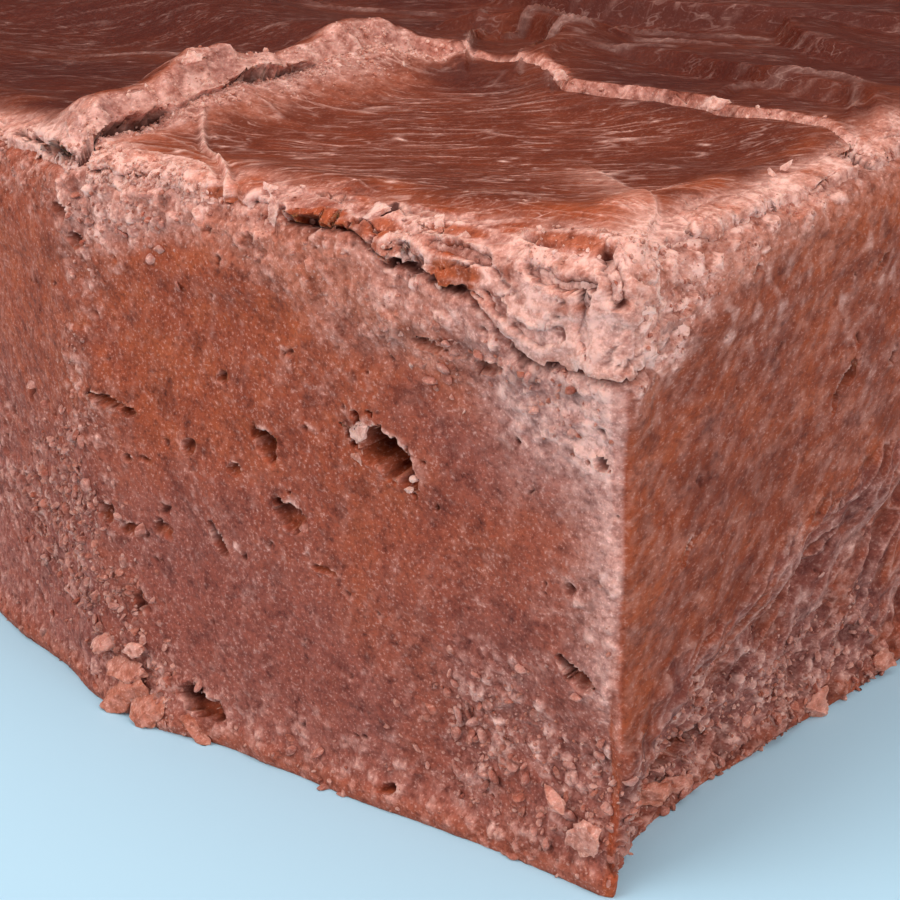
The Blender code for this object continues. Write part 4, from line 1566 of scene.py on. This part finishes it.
@dataclass
class SkinSheet:
    """A plate of the top skin, which wraps over the rim and ends in a ragged lip."""

    name: str
    plate: Plate
    form: SlabForm
    relief: SkinRelief
    count: int
    rings: int
    across: Array
    back: Array
    right_run: float = 19.0
    line_shift: tuple[float, float] = (-0.6, 0.6)
    ridge_foot: tuple[float, float] = (5.6, -9.1)
    sunk_middle: tuple[float, float] = (19.0, -19.0)
    sunk_in: float = 2.6
    sunk_height: float = 22.7
    surface: dict[str, Array] = field(default_factory=dict)

    def build(self, material: Any) -> Any:
        """Models the plate and dresses it.

        Args:
            material: the finish.

        Returns:
            The piece.
        """
        count = self.count
        row, column = (axis.ravel() for axis in np.mgrid[0:count, 0:count])
        ring = self._ring_numbers(row, column)
        u, v = self._shares(row, column, ring)
        flat = self._flat(u, v, ring)
        border_xy = self._border(u, v)
        on_ring = ring < self.rings
        flat[on_ring] = border_xy[on_ring]
        rim_sides = self._rim_distance(flat)
        edge = np.where(on_ring, 0.0, rim_sides)
        z, wall, dark, tuck = self._height(flat[:, 0], flat[:, 1], edge)
        points = np.column_stack([flat, z])
        turned = smooth(self.form.kink_x, self.form.kink_x + 4.0, flat[:, 0])
        points[:, 0] -= tuck * (1 - turned)
        points[:, 1] += tuck * turned
        down = self._rim_rings(u, v, ring, z)
        points[on_ring] = down[0][on_ring]
        edge = np.where(on_ring, -down[1], edge)
        grid = points.reshape(count, count, 3)
        facing = grid_normals(grid).reshape(-1, 3)
        relief = self.relief.at(points, edge, wall)
        # Painted shade in the crack between the plates and under the upper plate's crest.
        relief.tones[DARK] = np.maximum(relief.tones[DARK], 0.95 * dark)
        moved = points + facing * relief.offset[:, None]
        self._sink_borders(moved, row, column)
        piece = new_grid(self.name, count, count)
        set_shape(piece, moved, relief.tones)
        cap(piece, self._outer_loop())
        keep = (row > 1) & (row < count - 2) & (column > 1) & (column < count - 2) & (moved[:, 2] > 23.2)
        self.surface = {"points": moved[keep], "facing": facing[keep], "crumble": relief.crumble[keep]}
        return finish_piece(piece, material)

    def _ring_numbers(self, row: Array, column: Array) -> Array:
        """How many steps each vertex lies inside the nearest rim side, up to rings.

        Args:
            row: each vertex's row.
            column: each vertex's column.

        Returns:
            The number of steps.
        """
        last = self.count - 1
        inside = [last - column, row]
        if self.plate is Plate.UPPER:
            inside += [column, last - row]
        return np.minimum(np.min(inside, axis=0), self.rings)

    def _shares(self, row: Array, column: Array, ring: Array) -> tuple[Array, Array]:
        """Place across and back within a vertex's own ring, from 0 to 1.

        Args:
            row: each vertex's row.
            column: each vertex's column.
            ring: how many steps each vertex lies inside the rim.

        Returns:
            Share across and share back.
        """
        last = self.count - 1
        low = ring if self.plate is Plate.UPPER else np.zeros_like(ring)
        low_v, high_v = ring, last - low
        u = (self.across[column] - self.across[low]) / (self.across[last - ring] - self.across[low])
        v = (self.back[row] - self.back[low_v]) / (self.back[high_v] - self.back[low_v])
        return np.clip(u, 0.0, 1.0), np.clip(v, 0.0, 1.0)

    def _sides(self) -> tuple[Callable[[Array], Array], ...]:
        """Top border points of the front, right, back and left sides at a share along each.

        Returns:
            One function for each side.
        """
        form = self.form
        left, kink, front, back_right, back_left = form.corners
        around = form.around

        def rim(start: float, end: float) -> Callable[[Array], Array]:
            """Border points between two places along the outline."""
            return lambda t: form.wall(start + (end - start) * t, np.zeros(len(t)))[0][:, :2]

        if self.plate is Plate.UPPER:
            return (rim(left, front), rim(front, back_right), rim(back_left, back_right),
                    rim(around + left, back_left))
        line = curve_through(form.overlap.knots[1:-1], 12)[:, :2]
        turn = int(np.argmin(np.hypot(*(line - self.ridge_foot).T)))
        line = line + self.line_shift
        front_rim, right_rim = rim(kink, front), rim(front, front + self.right_run)
        ridge, rear = line[: turn + 1], line[turn:]
        ridge = np.concatenate([front_rim(np.zeros(1)), ridge[ridge[:, 1] > self.form.front_y + 2.2]])
        rear = np.concatenate([rear[rear[:, 0] < self.form.right_x - 2.6], right_rim(np.ones(1))])

        def along(run: Array) -> Callable[[Array], Array]:
            """Points at a share along a drawn line."""
            steps = np.concatenate([[0.0], np.cumsum(np.hypot(*np.diff(run, axis=0).T))])
            return lambda t: np.column_stack([np.interp(t * steps[-1], steps, run[:, k]) for k in (0, 1)])

        return front_rim, right_rim, along(rear), along(ridge)

    def _border(self, u: Array, v: Array) -> Array:
        """The top border's point for each ring vertex.

        Args:
            u: share across, 0 to 1.
            v: share back, 0 to 1.

        Returns:
            Points in plan.
        """
        front, right, back, left = self._sides()
        place = front(u)
        for chosen, side, share in ((u >= 1.0, right, v), (v >= 1.0, back, u), (u <= 0.0, left, v)):
            use = chosen & ~((v <= 0.0) & (side is not right)) if side is not back else chosen
            if use.any():
                place[use] = side(share[use])
        return place

    def _flat(self, u: Array, v: Array, ring: Array) -> Array:
        """Where the inner vertices lie in plan, blended between the four sides.

        Args:
            u: share across, 0 to 1.
            v: share back, 0 to 1.
            ring: not used.

        Returns:
            Points in plan.
        """
        front, right, back, left = self._sides()
        a, b = u[:, None], v[:, None]
        ends = np.array([0.0, 1.0])
        corner = {(0, 0): front(ends)[0], (1, 0): front(ends)[1], (0, 1): back(ends)[0], (1, 1): back(ends)[1]}
        ruled = (1 - b) * front(u) + b * back(u) + (1 - a) * left(v) + a * right(v)
        both = ((1 - a) * (1 - b) * corner[0, 0] + a * (1 - b) * corner[1, 0]
                + (1 - a) * b * corner[0, 1] + a * b * corner[1, 1])
        return ruled - both

    def _rim_distance(self, flat: Array) -> Array:
        """Distance from each point to the top's border along the slab's rim.

        Args:
            flat: places in plan.

        Returns:
            Distances, in millimetres.
        """
        s = np.arange(0.0, self.form.around, 0.5)
        border = self.form.wall(s, np.zeros(len(s)))[0][:, :2]
        nearest = np.full(len(flat), 1e9)
        for start, end in zip(border, np.roll(border, -1, axis=0)):
            step = end - start
            t = np.clip((flat - start) @ step / (step @ step), 0.0, 1.0)
            nearest = np.minimum(nearest, np.hypot(*(flat - start - t[:, None] * step).T))
        return nearest

    def _height(self, x: Array, y: Array, edge: Array) -> tuple[Array, Array, Array, Array]:
        """The plate's height near the overlap.

        Args:
            x: places along X.
            y: places along Y.
            edge: distance inside the top's border.

        Returns:
            Height, how torn and crumbly the plate is, how much painted shade it takes in the
            crack and under the crest, and how far it is tucked back under the crest.
        """
        base = self.form.top(x, y, edge)
        away, side, crest, run = self.form.overlap.near(x, y)
        flush = smooth(-1.6, 1.0, edge)
        inside = np.where(side < 0.0, away, -away)
        points = np.column_stack([x, y, 0 * x])
        ragged = (0.16 * lattice(points, 0.8, 10) + 0.26 * lattice(points, 2.4, 11)
                  + 0.13 * blocks(points, 0.55, 9))
        crest = crest * flush
        crack = flush * np.interp(run, (0.06, 0.125, 0.19, 0.25, 0.31, 0.37, 0.44, 0.5, 0.56, 0.63),
                                  (0.4, 0.7, 1.1, 1.3, 1.45, 1.5, 1.8, 0.6, 0.1, 0.0))
        opening = np.interp(run,
                            (0.06, 0.08, 0.104, 0.128, 0.16, 0.178, 0.203, 0.248, 0.266, 0.285, 0.307, 0.333,
                                  0.365, 0.385, 0.42),
                            (0.0, 0.3, 0.35, 0.6, 0.7, 0.2, 0.25, 0.22, 0.35, 0.8, 0.7, 0.35, 0.3, 0.0, -0.3))
        opening = opening + 0.22 * lattice(points, 0.9, 8) * smooth(0.0, 0.2, opening)
        opening = np.where(run > 0.42, -0.3, opening)
        if self.plate is Plate.UPPER:
            brow = np.interp(run, (0.0, 0.44, 0.52, 1.0), (1.0, 0.9, 0.34, 0.3))
            gentle = np.interp(run, (0.0, 0.44, 0.56, 1.0), (3.0, 3.0, 5.0, 7.0))
            hill = crest * hump(np.minimum(inside + brow, 0.0), 0.0, gentle)
            lip = crack + 0.5 * opening
            at = inside + ragged
            fall = smooth(-brow, 0.15, at)
            rough = 0.34 * lattice(points, 1.7, 12) + 0.16 * lattice(points, 0.8, 13)
            rear = smooth(0.46, 0.54, run)
            ups = hump(inside, -0.6 * brow, 0.9 * brow) * (0.3 + 0.4 * crest) * (1 - 0.6 * rear)
            z = base + mixed(hill, np.minimum(lip, hill), fall) + rough * ups
            z -= smooth(0.15, 0.5, at) * (np.maximum(lip, 0.0) + 1.3)
            torn = (smooth(-brow - 0.6 * brow, -0.6 * brow, at) * (1 - smooth(0.9, 1.6, inside))
                    * (1 - 0.15 * rear))
            tuck = np.clip(opening * 2.5, 0.0, 1.1) * smooth(0.12, 0.3, at)
            return z, torn, smooth(0.15, 0.3, at), tuck
        rise = crack - 0.5 * np.maximum(opening, 0.0)
        bank = flush * np.interp(run, (0.46, 0.54, 0.88, 1.0), (0.0, 0.38, 0.3, 0.1))
        near = np.exp(-(np.maximum(inside - 0.2, 0.0) / 2.0) ** 2)
        z = base - 0.1 + (rise + bank) * near - 0.5 * smooth(0.0, -0.7, inside)
        torn = (0.95 * smooth(0.05, 0.4, crack)
                * hump(np.maximum(inside + 2 * ragged, 0.0), 0.0, 0.5 + 0.9 * rise))
        return z, torn, smooth(0.05, -0.25, inside + ragged), 0 * x

    def _rim_rings(self, u: Array, v: Array, ring: Array, z: Array) -> tuple[Array, Array]:
        """Places of the ring vertices down over the rim, and their path length from the border.

        Args:
            u: share across, 0 to 1.
            v: share back, 0 to 1.
            ring: how many steps each vertex lies inside the rim.
            z: heights of the plate at its border.

        Returns:
            Places and path lengths.
        """
        form = self.form
        left, kink, front, back_right, back_left = form.corners
        if self.plate is Plate.UPPER:
            s = np.where(v <= 0, left + (front - left) * u, front + (back_right - front) * v)
            s = np.where((v >= 1) & (u < 1), back_left + (back_right - back_left) * u, s)
            s = np.where((u <= 0) & (v > 0) & (v < 1),
                         form.around + left + (back_left - form.around - left) * v, s)
            s = np.where((u >= 1) & (v > 0), front + (back_right - front) * v, s)
        else:
            s = np.where((u >= 1) & (v > 0), front + self.right_run * v, kink + (front - kink) * u)
        flat, normal, _ = form.place(s)
        points = np.column_stack([flat, 0 * s])
        ragged = (0.45 * lattice(points, 1.1, 14) + 0.2 * lattice(points, 0.45, 15)
                  + 0.42 * blocks(points, 0.55, 16))
        past = (np.hypot(flat[:, 0] - form.right_x, flat[:, 1] - form.front_y)
                * (flat[:, 1] > form.front_y + 0.4))
        proud = smooth(17.0, 19.0, flat[:, 0]) * smooth(-18.0, -26.0, flat[:, 1]) * (1 - smooth(0.6, 3.0, past))
        reach = mixed(1.9, lip_drop(flat[:, 0]), proud) + ragged * mixed(0.6, 0.35, proud)
        share = np.clip((self.rings - ring) / (self.rings - 1.0), 0.0, 1.0)
        path = reach * share
        places, _ = form.wall(s, path)
        lip = mixed(-0.3, 0.1 + 0.2 * lip_gap(flat[:, 0]) + 0.1 * ragged, proud)
        stand = 0.1 * smooth(0.0, 0.4, share) + (lip - 0.1) * smooth(0.35, 0.95, share)
        covered = smooth(-0.5, 0.6, flat[:, 0] - 7.3) * smooth(0.3, -0.5, flat[:, 1] + 12.6)
        stand -= 0.8 * (covered if self.plate is Plate.UPPER else 1.0 - covered)
        places[:, :2] += normal * stand[:, None]
        places[:, 2] += (z - form.thickness) * np.exp(-path / 0.9)
        return places, path

    def _sink_borders(self, moved: Array, row: Array, column: Array) -> None:
        """Draws the outermost vertices inward and under, where the body hides them.

        Args:
            moved: the vertices' places, changed in place.
            row: each vertex's row.
            column: each vertex's column.
        """
        last = self.count - 1
        outer = (row == 0) | (column == last) | (row == last) | (column == 0)
        middle = np.array(self.sunk_middle) if self.plate is Plate.LOWER else np.zeros(2)
        inward = middle - moved[outer, :2]
        moved[outer, :2] += inward / np.linalg.norm(inward, axis=1)[:, None] * self.sunk_in
        moved[outer, 2] = self.sunk_height

    def _outer_loop(self) -> Array:
        """The outermost vertices."""
        whole = np.arange(self.count**2).reshape(self.count, self.count)
        return np.concatenate([whole[0], whole[1:, -1], whole[-1, :-1], whole[1:-1, 0]])


def broken_ball(ball: Array, rng: Any, cuts: int) -> Array:
    """A ball's vertices after flat breaks at random have been taken off it.

    Args:
        ball: the ball's vertices.
        rng: the seeded random numbers.
        cuts: how many breaks.

    Returns:
        The vertices' new places.
    """
    shape = ball.copy()
    for _ in range(cuts):
        way = rng.normal(size=3)
        way /= np.linalg.norm(way)
        over = np.maximum(shape @ way - rng.uniform(0.35, 0.85), 0.0)
        shape -= over[:, None] * way
    return shape


@dataclass
class Crumbs:
    """Loose crumbs joined into one piece, sat where the surfaces crumble or round given places.

    low and high are the crumbs' sizes, flatness their thickness as a share of that, and heaps holds
    the places of heaps with how far each spreads; with no heaps the crumbs lie wherever it crumbles.
    """

    name: str
    count: int
    low: float
    high: float
    seed: int
    flatness: float = 0.75
    detail: int = 1
    heaps: tuple[tuple[float, float, float, float], ...] = ()

    def build(self, surfaces: Sequence[dict[str, Array]], material: Any, tone: dict[Tone, float]) -> Any:
        """Scatters the crumbs.

        Args:
            surfaces: points, normals and crumbliness that the crumbs may sit on.
            material: their finish.
            tone: each tone's usual value.

        Returns:
            The joined piece.
        """
        rng = np.random.default_rng(self.seed)
        points, facing, crumble = (np.concatenate([surface[key] for surface in surfaces])
                                   for key in ("points", "facing", "crumble"))
        weight = np.clip(crumble - 0.25, 0.0, 1.0) ** 1.5
        if self.heaps:
            weight = sum(hump(np.linalg.norm(points - heap[:3], axis=1), 0.0, heap[3]) for heap in self.heaps)
        spots = rng.choice(len(points), self.count, p=weight / weight.sum())
        deselect_all()
        bpy.ops.mesh.primitive_ico_sphere_add(subdivisions=self.detail, radius=1.0)
        piece = bpy.context.active_object
        piece.name = piece.data.name = self.name
        ball = np.array([vert.co for vert in piece.data.vertices])
        copies = piece.modifiers.new("copies", "ARRAY")
        copies.count = self.count
        bpy.ops.object.modifier_apply(modifier="copies")
        verts, shades = [], []
        sizes = self.low * (self.high / self.low) ** (rng.random(self.count) ** 2.2)
        for spot, size in zip(spots, sizes):
            turn = np.array(Matrix(np.linalg.qr(rng.normal(size=(3, 3)))[0]))
            blob = broken_ball(ball, rng, 4) * (1.0, rng.uniform(0.5, 1.0), self.flatness) @ turn
            verts.append(points[spot] + facing[spot] * size * 0.1 + blob * size)
            shades.append(np.full(len(ball), rng.uniform(0.35, 1.0)))
        places, shade = np.concatenate(verts), np.concatenate(shades)
        places[:, 2] = np.maximum(places[:, 2], 0.01)
        tones = blank_tones(len(shade))
        for key, value in tone.items():
            tones[key] = shade * value
        set_shape(piece, places, tones)
        return finish_piece(piece, material, 30.0)


@dataclass(frozen=True)
class Chunk:
    """A larger chip or lump that stands on the slab by itself.

    place is its middle, size its half width, half height and half thickness, face the way its
    broad side looks and turn its turn about that, in degrees.
    """

    place: tuple[float, float, float]
    size: tuple[float, float, float]
    face: tuple[float, float, float]
    turn: float
    pale: float
    warm: float = 0.0


@dataclass(frozen=True)
class Chunks:
    """The chips and lumps big enough to be told apart."""

    name: str = "chips"
    seed: int = 9
    chips: tuple[Chunk, ...] = tuple(Chunk(*row) for row in (
        ((22.42, -30.68, 15.9), (0.52, 0.46, 0.12), (-0.25, -1.0, 0.2), 20.0, 0.8),
        ((22.3, -30.55, 14.85), (0.3, 0.5, 0.1), (0.3, -1.0, 0.1), 35.0, 0.55),
        ((25.05, -30.6, 14.6), (0.22, 0.2, 0.14), (0.0, -1.0, 0.3), 10.0, 0.7),
        ((24.8, -30.6, 14.1), (0.24, 0.16, 0.14), (0.0, -1.0, 0.3), 0.0, 0.85),
        ((23.0, -29.75, 24.32), (0.6, 0.42, 0.12), (0.2, -0.7, 0.8), 12.0, 0.95),
        ((25.7, -29.7, 24.25), (0.24, 0.26, 0.12), (0.2, -0.7, 0.8), 40.0, 1.0),
        ((27.1, -30.0, 23.98), (0.28, 0.24, 0.14), (0.2, -0.7, 0.8), 0.0, 1.0),
        ((24.9, -30.5, 23.2), (0.75, 0.24, 0.1), (0.1, -1.0, 0.3), -28.0, 0.95),
        ((26.4, -30.7, 22.0), (0.2, 0.36, 0.12), (0.0, -1.0, 0.1), 5.0, 0.9),
        ((30.0, -30.65, 20.7), (0.32, 0.26, 0.14), (0.0, -1.0, 0.3), 0.0, 1.0),
        ((30.9, -30.7, 21.4), (0.18, 0.22, 0.12), (0.0, -1.0, 0.3), 30.0, 1.0),
        ((17.4, -29.6, 24.42), (0.42, 0.3, 0.14), (0.1, -0.7, 0.8), 0.0, 0.95),
        ((18.2, -30.3, 23.8), (0.28, 0.7, 0.12), (0.2, -1.0, 0.3), 24.0, 0.9),
        ((6.2, -22.4, 27.2), (0.5, 0.3, 0.2), (0.6, -0.7, 0.3), 0.0, 0.95),
        ((15.7, -8.0, 25.4), (0.4, 0.28, 0.16), (0.6, -0.7, 0.3), 20.0, 1.0),
        ((24.6, -8.9, 25.15), (0.8, 0.3, 0.16), (0.6, -0.7, 0.3), 8.0, 0.95),
        # The two thin white flakes on the right rim are painted highlights where the rim glints.
        ((32.0, -16.2, 24.55), (0.36, 0.16, 0.08), (0.7, -0.5, 0.6), 25.0, 1.0),
        ((32.0, -17.2, 24.5), (0.16, 0.24, 0.08), (0.8, -0.5, 0.4), 25.0, 1.0),
        ((33.9, -8.6, 0.75), (0.85, 0.75, 0.45), (1.0, -0.3, 0.2), 0.0, 0.35, 0.9),
        ((33.4, -13.6, 0.55), (0.85, 0.5, 0.4), (1.0, -0.3, 0.2), 10.0, 0.45, 0.7),
        ((32.3, -25.4, 1.4), (0.9, 0.7, 0.35), (1.0, -0.3, 0.2), 10.0, 0.3, 0.9),
        ((32.3, -23.2, 0.9), (0.9, 0.5, 0.35), (1.0, -0.3, 0.2), -20.0, 0.35, 0.6),
        ((8.6, -31.0, 2.0), (1.1, 0.6, 0.4), (0.0, -1.0, 0.3), 10.0, 0.35, 0.3),
        ((8.8, -31.3, 0.9), (1.3, 0.8, 0.6), (0.0, -1.0, 0.3), 30.0, 0.25, 0.6),
        ((10.4, -31.3, 0.9), (1.4, 0.8, 0.6), (0.0, -1.0, 0.3), -12.0, 0.3, 0.6),
        ((12.6, -31.1, 0.6), (1.2, 0.6, 0.45), (0.0, -1.0, 0.3), -20.0, 0.25, 0.6),
        ((7.2, -30.7, 2.6), (0.8, 0.5, 0.4), (0.0, -1.0, 0.4), 35.0, 0.5),
        ((9.4, -31.0, 3.0), (0.7, 0.4, 0.35), (0.0, -1.0, 0.4), 15.0, 0.55),
        ((33.0, -30.6, 2.2), (0.8, 0.7, 0.35), (0.0, -1.0, 0.2), 20.0, 0.5),
        ((31.2, -30.5, 3.2), (0.6, 0.4, 0.3), (0.0, -1.0, 0.2), -25.0, 0.5),
    ))

    def build(self, material: Any) -> Any:
        """Models each chip from a ball, breaks its edges and joins them.

        Args:
            material: the finish.

        Returns:
            The joined piece.
        """
        made = []
        rng = np.random.default_rng(self.seed)
        for number, chip in enumerate(self.chips):
            deselect_all()
            bpy.ops.mesh.primitive_ico_sphere_add(subdivisions=4, radius=1.15)
            piece = bpy.context.active_object
            ball = broken_ball(np.array([vert.co for vert in piece.data.vertices]), rng, 9)
            spot = ball + number * 7.7
            edge = 1.0 + 0.3 * lattice(spot, 0.8, self.seed) + 0.2 * lattice(spot, 0.4, self.seed + 1)
            rough = 1.0 + 0.14 * lattice(spot, 0.3, self.seed + 2)
            shape = ball * np.column_stack([edge * rough, edge * rough, rough]) * chip.size
            look = Vector(chip.face).to_track_quat("Z", "Y")
            spin = Matrix.Rotation(math.radians(chip.turn), 3, "Z").to_quaternion()
            turned = np.array((look @ spin).to_matrix())
            points = shape @ turned.T + chip.place
            points[:, 2] = np.maximum(points[:, 2], 0.0)
            tones = blank_tones(len(points))
            tones[PALE] += chip.pale + 0.2 * lattice(points, 0.4, self.seed)
            tones[WARM] += chip.warm
            set_shape(piece, points, tones)
            made.append(piece)
        deselect_all()
        for piece in made:
            piece.select_set(True)
        bpy.context.view_layer.objects.active = made[0]
        bpy.ops.object.join()
        chips = bpy.context.active_object
        chips.name = self.name
        chips.data.name = self.name
        return finish_piece(chips, material, 50.0)


# ---- Studio ----


@dataclass(frozen=True)
class Studio:
    """A pale floor, soft light from above and behind, and the camera close to the front corner."""

    eye: tuple[float, float, float] = (68.287, -83.369, 41.063)
    heading: float = 128.236
    pitch: float = 20.404
    roll: float = -0.902
    lens: float = 78.93
    floor_width: float = 3.0
    floor_gap: float = 0.02
    sky_colour: tuple[float, float, float, float] = (1.0, 0.95, 0.92, 1.0)
    sky_strength: float = 0.07

    def build(self) -> None:
        """Sets the floor, the lights, the sky and the camera."""
        self._floor()
        self._light("overhead", (-20.0, -20.0, 620.0), 900.0, 3.8, (1.0, 0.99, 0.97))
        self._light("left", (-200.0, -420.0, 260.0), 400.0, 1.6, (1.0, 0.99, 0.98))
        self._light("right", (430.0, -160.0, 220.0), 400.0, 1.58, (1.0, 0.99, 0.98))
        self._sky()
        self._camera()
        bpy.context.scene.view_settings.view_transform = "Standard"

    def _floor(self) -> None:
        """The sheet that the fudge lies on."""
        deselect_all()
        bpy.ops.mesh.primitive_plane_add(size=self.floor_width, location=(0.0, 0.0, -self.floor_gap * MM))
        floor = bpy.context.active_object
        floor.name = "floor"
        floor.data.materials.append(FloorFinish().material())

    def _light(self, name: str, place: tuple, size: float, power: float, colour: tuple) -> None:
        """A large square light that faces the slab; place and size in millimetres, power in watts.

        Args:
            name: its name.
            place: its place, in millimetres.
            size: its width, in millimetres.
            power: its power, in watts.
            colour: its colour.
        """
        data = bpy.data.lights.new(name, "AREA")
        data.size = size * MM
        data.energy = power
        data.color = colour
        light = bpy.data.objects.new(name, data)
        light.location = Vector(place) * MM
        light.rotation_euler = (-light.location).to_track_quat("-Z", "Y").to_euler()
        bpy.context.scene.collection.objects.link(light)

    def _sky(self) -> None:
        """Even pale light from all round."""
        world = bpy.data.worlds.new("soft_sky")
        world.use_nodes = True
        sky = world.node_tree.nodes["Background"]
        sky.inputs["Color"].default_value = self.sky_colour
        sky.inputs["Strength"].default_value = self.sky_strength
        bpy.context.scene.world = world

    def _camera(self) -> None:
        """The camera, by its heading from +X, its pitch down and its roll."""
        heading, pitch, roll = (math.radians(a) for a in (self.heading, self.pitch, self.roll))
        forward = Vector((math.cos(heading) * math.cos(pitch), math.sin(heading) * math.cos(pitch),
                          -math.sin(pitch)))
        level = Vector((math.sin(heading), -math.cos(heading), 0.0))
        upright = level.cross(forward)
        right = level * math.cos(roll) + upright * math.sin(roll)
        up = upright * math.cos(roll) - level * math.sin(roll)
        data = bpy.data.cameras.new("camera")
        data.lens = self.lens
        data.clip_start = 1.0 * MM
        camera = bpy.data.objects.new("camera", data)
        bpy.context.scene.collection.objects.link(camera)
        axes = Matrix((right, up, -forward)).transposed()
        camera.matrix_world = Matrix.Translation(Vector(self.eye) * MM) @ axes.to_4x4()
        bpy.context.scene.camera = camera


FLAKE_HEAPS = (
    (3.2, -28.6, 9.5, 2.0), (5.0, -29.8, 5.5, 1.8), (7.6, -30.5, 2.6, 1.5), (10.5, -30.8, 1.4, 1.8),
    (6.6, -30.6, 8.5, 1.6), (5.2, -30.0, 11.5, 1.4), (8.4, -31.0, 5.4, 1.6), (2.0, -28.2, 6.5, 2.2),
    (28.0, -30.5, 4.2, 2.4), (31.8, -30.5, 2.0, 1.8), (33.2, -30.5, 4.5, 1.0), (20.0, -30.6, 0.3, 1.2),
    (33.4, -28.6, 2.6, 1.2), (32.6, -26.0, 2.4, 1.8), (32.4, -22.5, 2.6, 2.2), (33.0, -16.0, 2.0, 2.4),
    (33.8, -10.0, 0.8, 2.0),
    (26.5, -31.0, 19.5, 1.2), (31.0, -31.0, 19.0, 1.0), (8.0, -30.5, 22.3, 1.2), (11.5, -30.5, 22.6, 1.2))


# The body's pieces: how far each reaches past a corner, and its columns and rows.
FACET_REACH, KINK_REACH, CORNER_REACH, RIGHT_REACH = 14.0, 2.0, 1.6, 31.0
GRIDS = {"cut_left": (130, 240), "cut_front": (330, 288), "cut_right": (300, 288), "cut_far": (556, 168)}

# The skin: vertices along a side, rings down the rim, and the widths its spacing is planned on.
SKIN_COUNT, SKIN_RINGS = 314, 34
SKIN_ACROSS, SKIN_BACK = 68.0, 61.0
RIM_WIDTH, RIM_SPACING = 4.0, 0.12


def skin_spacing(length: float, fold: float, reach: float, fold_step: float, step: float
                 ) -> Callable[[Array], Array]:
    """How far apart a plate's vertices lie: close at its two rims and at its tallest fold.

    Args:
        length: the plate's width.
        fold: where the fold lies.
        reach: how far the close spacing runs to either side of it.
        fold_step: the spacing there.
        step: the spacing elsewhere.

    Returns:
        The spacing as a function of place.
    """
    def spacing(at: Array) -> Array:
        """Spacing at each place."""
        at_rim = (at < RIM_WIDTH) | (at > length - RIM_WIDTH)
        return np.where(at_rim, RIM_SPACING, np.where(np.abs(at - fold) < reach, fold_step, step))

    return spacing


def main() -> None:
    """Builds the studio and then the fudge, piece by piece; each piece is reported as it is made."""
    logging.basicConfig(level=logging.INFO, format="%(message)s")
    Studio().build()
    form = SlabForm()
    paste = FudgeFinish().material()
    cut = CutRelief(form)
    _, kink, front, _, _ = form.corners
    start = kink - FACET_REACH
    end = form.around + kink - FACET_REACH
    stops = (start, kink - KINK_REACH, front + CORNER_REACH, front + RIGHT_REACH, end)
    sides = [CutSide(name, form, cut, begin, end, *grid)
             for (name, grid), begin, end in zip(GRIDS.items(), stops, stops[1:])]
    near_piece = [side.build(paste) for side in sides][1]
    build_core(sides, paste)
    skin = SkinRelief(form)
    wide = spread(SKIN_COUNT, SKIN_ACROSS, skin_spacing(SKIN_ACROSS, 40.6, 2.2, 0.085, 0.27))
    deep = spread(SKIN_COUNT, SKIN_BACK, skin_spacing(SKIN_BACK, 23.0, 3.0, 0.12, 0.26))
    even = np.linspace(0, 1, SKIN_COUNT)
    upper = SkinSheet("skin_upper", Plate.UPPER, form, skin, SKIN_COUNT, SKIN_RINGS, wide, deep)
    lower = SkinSheet("skin_lower", Plate.LOWER, form, skin, SKIN_COUNT, SKIN_RINGS, even, even)
    upper.build(paste)
    lower.build(paste)
    rim_crumbs = Crumbs("rim_crumbs", 4000, 0.04, 0.18, 7)
    rim_crumbs.build((upper.surface, lower.surface), paste, {PALE: 1.0})
    side_crumbs = Crumbs("side_crumbs", 2600, 0.04, 0.17, 8)
    cut_surfaces = [side.surface for side in sides[:3]]
    side_crumbs.build(cut_surfaces, paste, {PALE: 0.56, ROSE: 0.5})
    flakes = Crumbs("flakes", 1500, 0.1, 0.42, 10, 0.45, 2, FLAKE_HEAPS)
    flakes.build(cut_surfaces, paste, {PALE: 0.5, ROSE: 0.6})
    Chunks().build(paste)
    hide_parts(NODE)


if __name__ == "__main__":
    main()
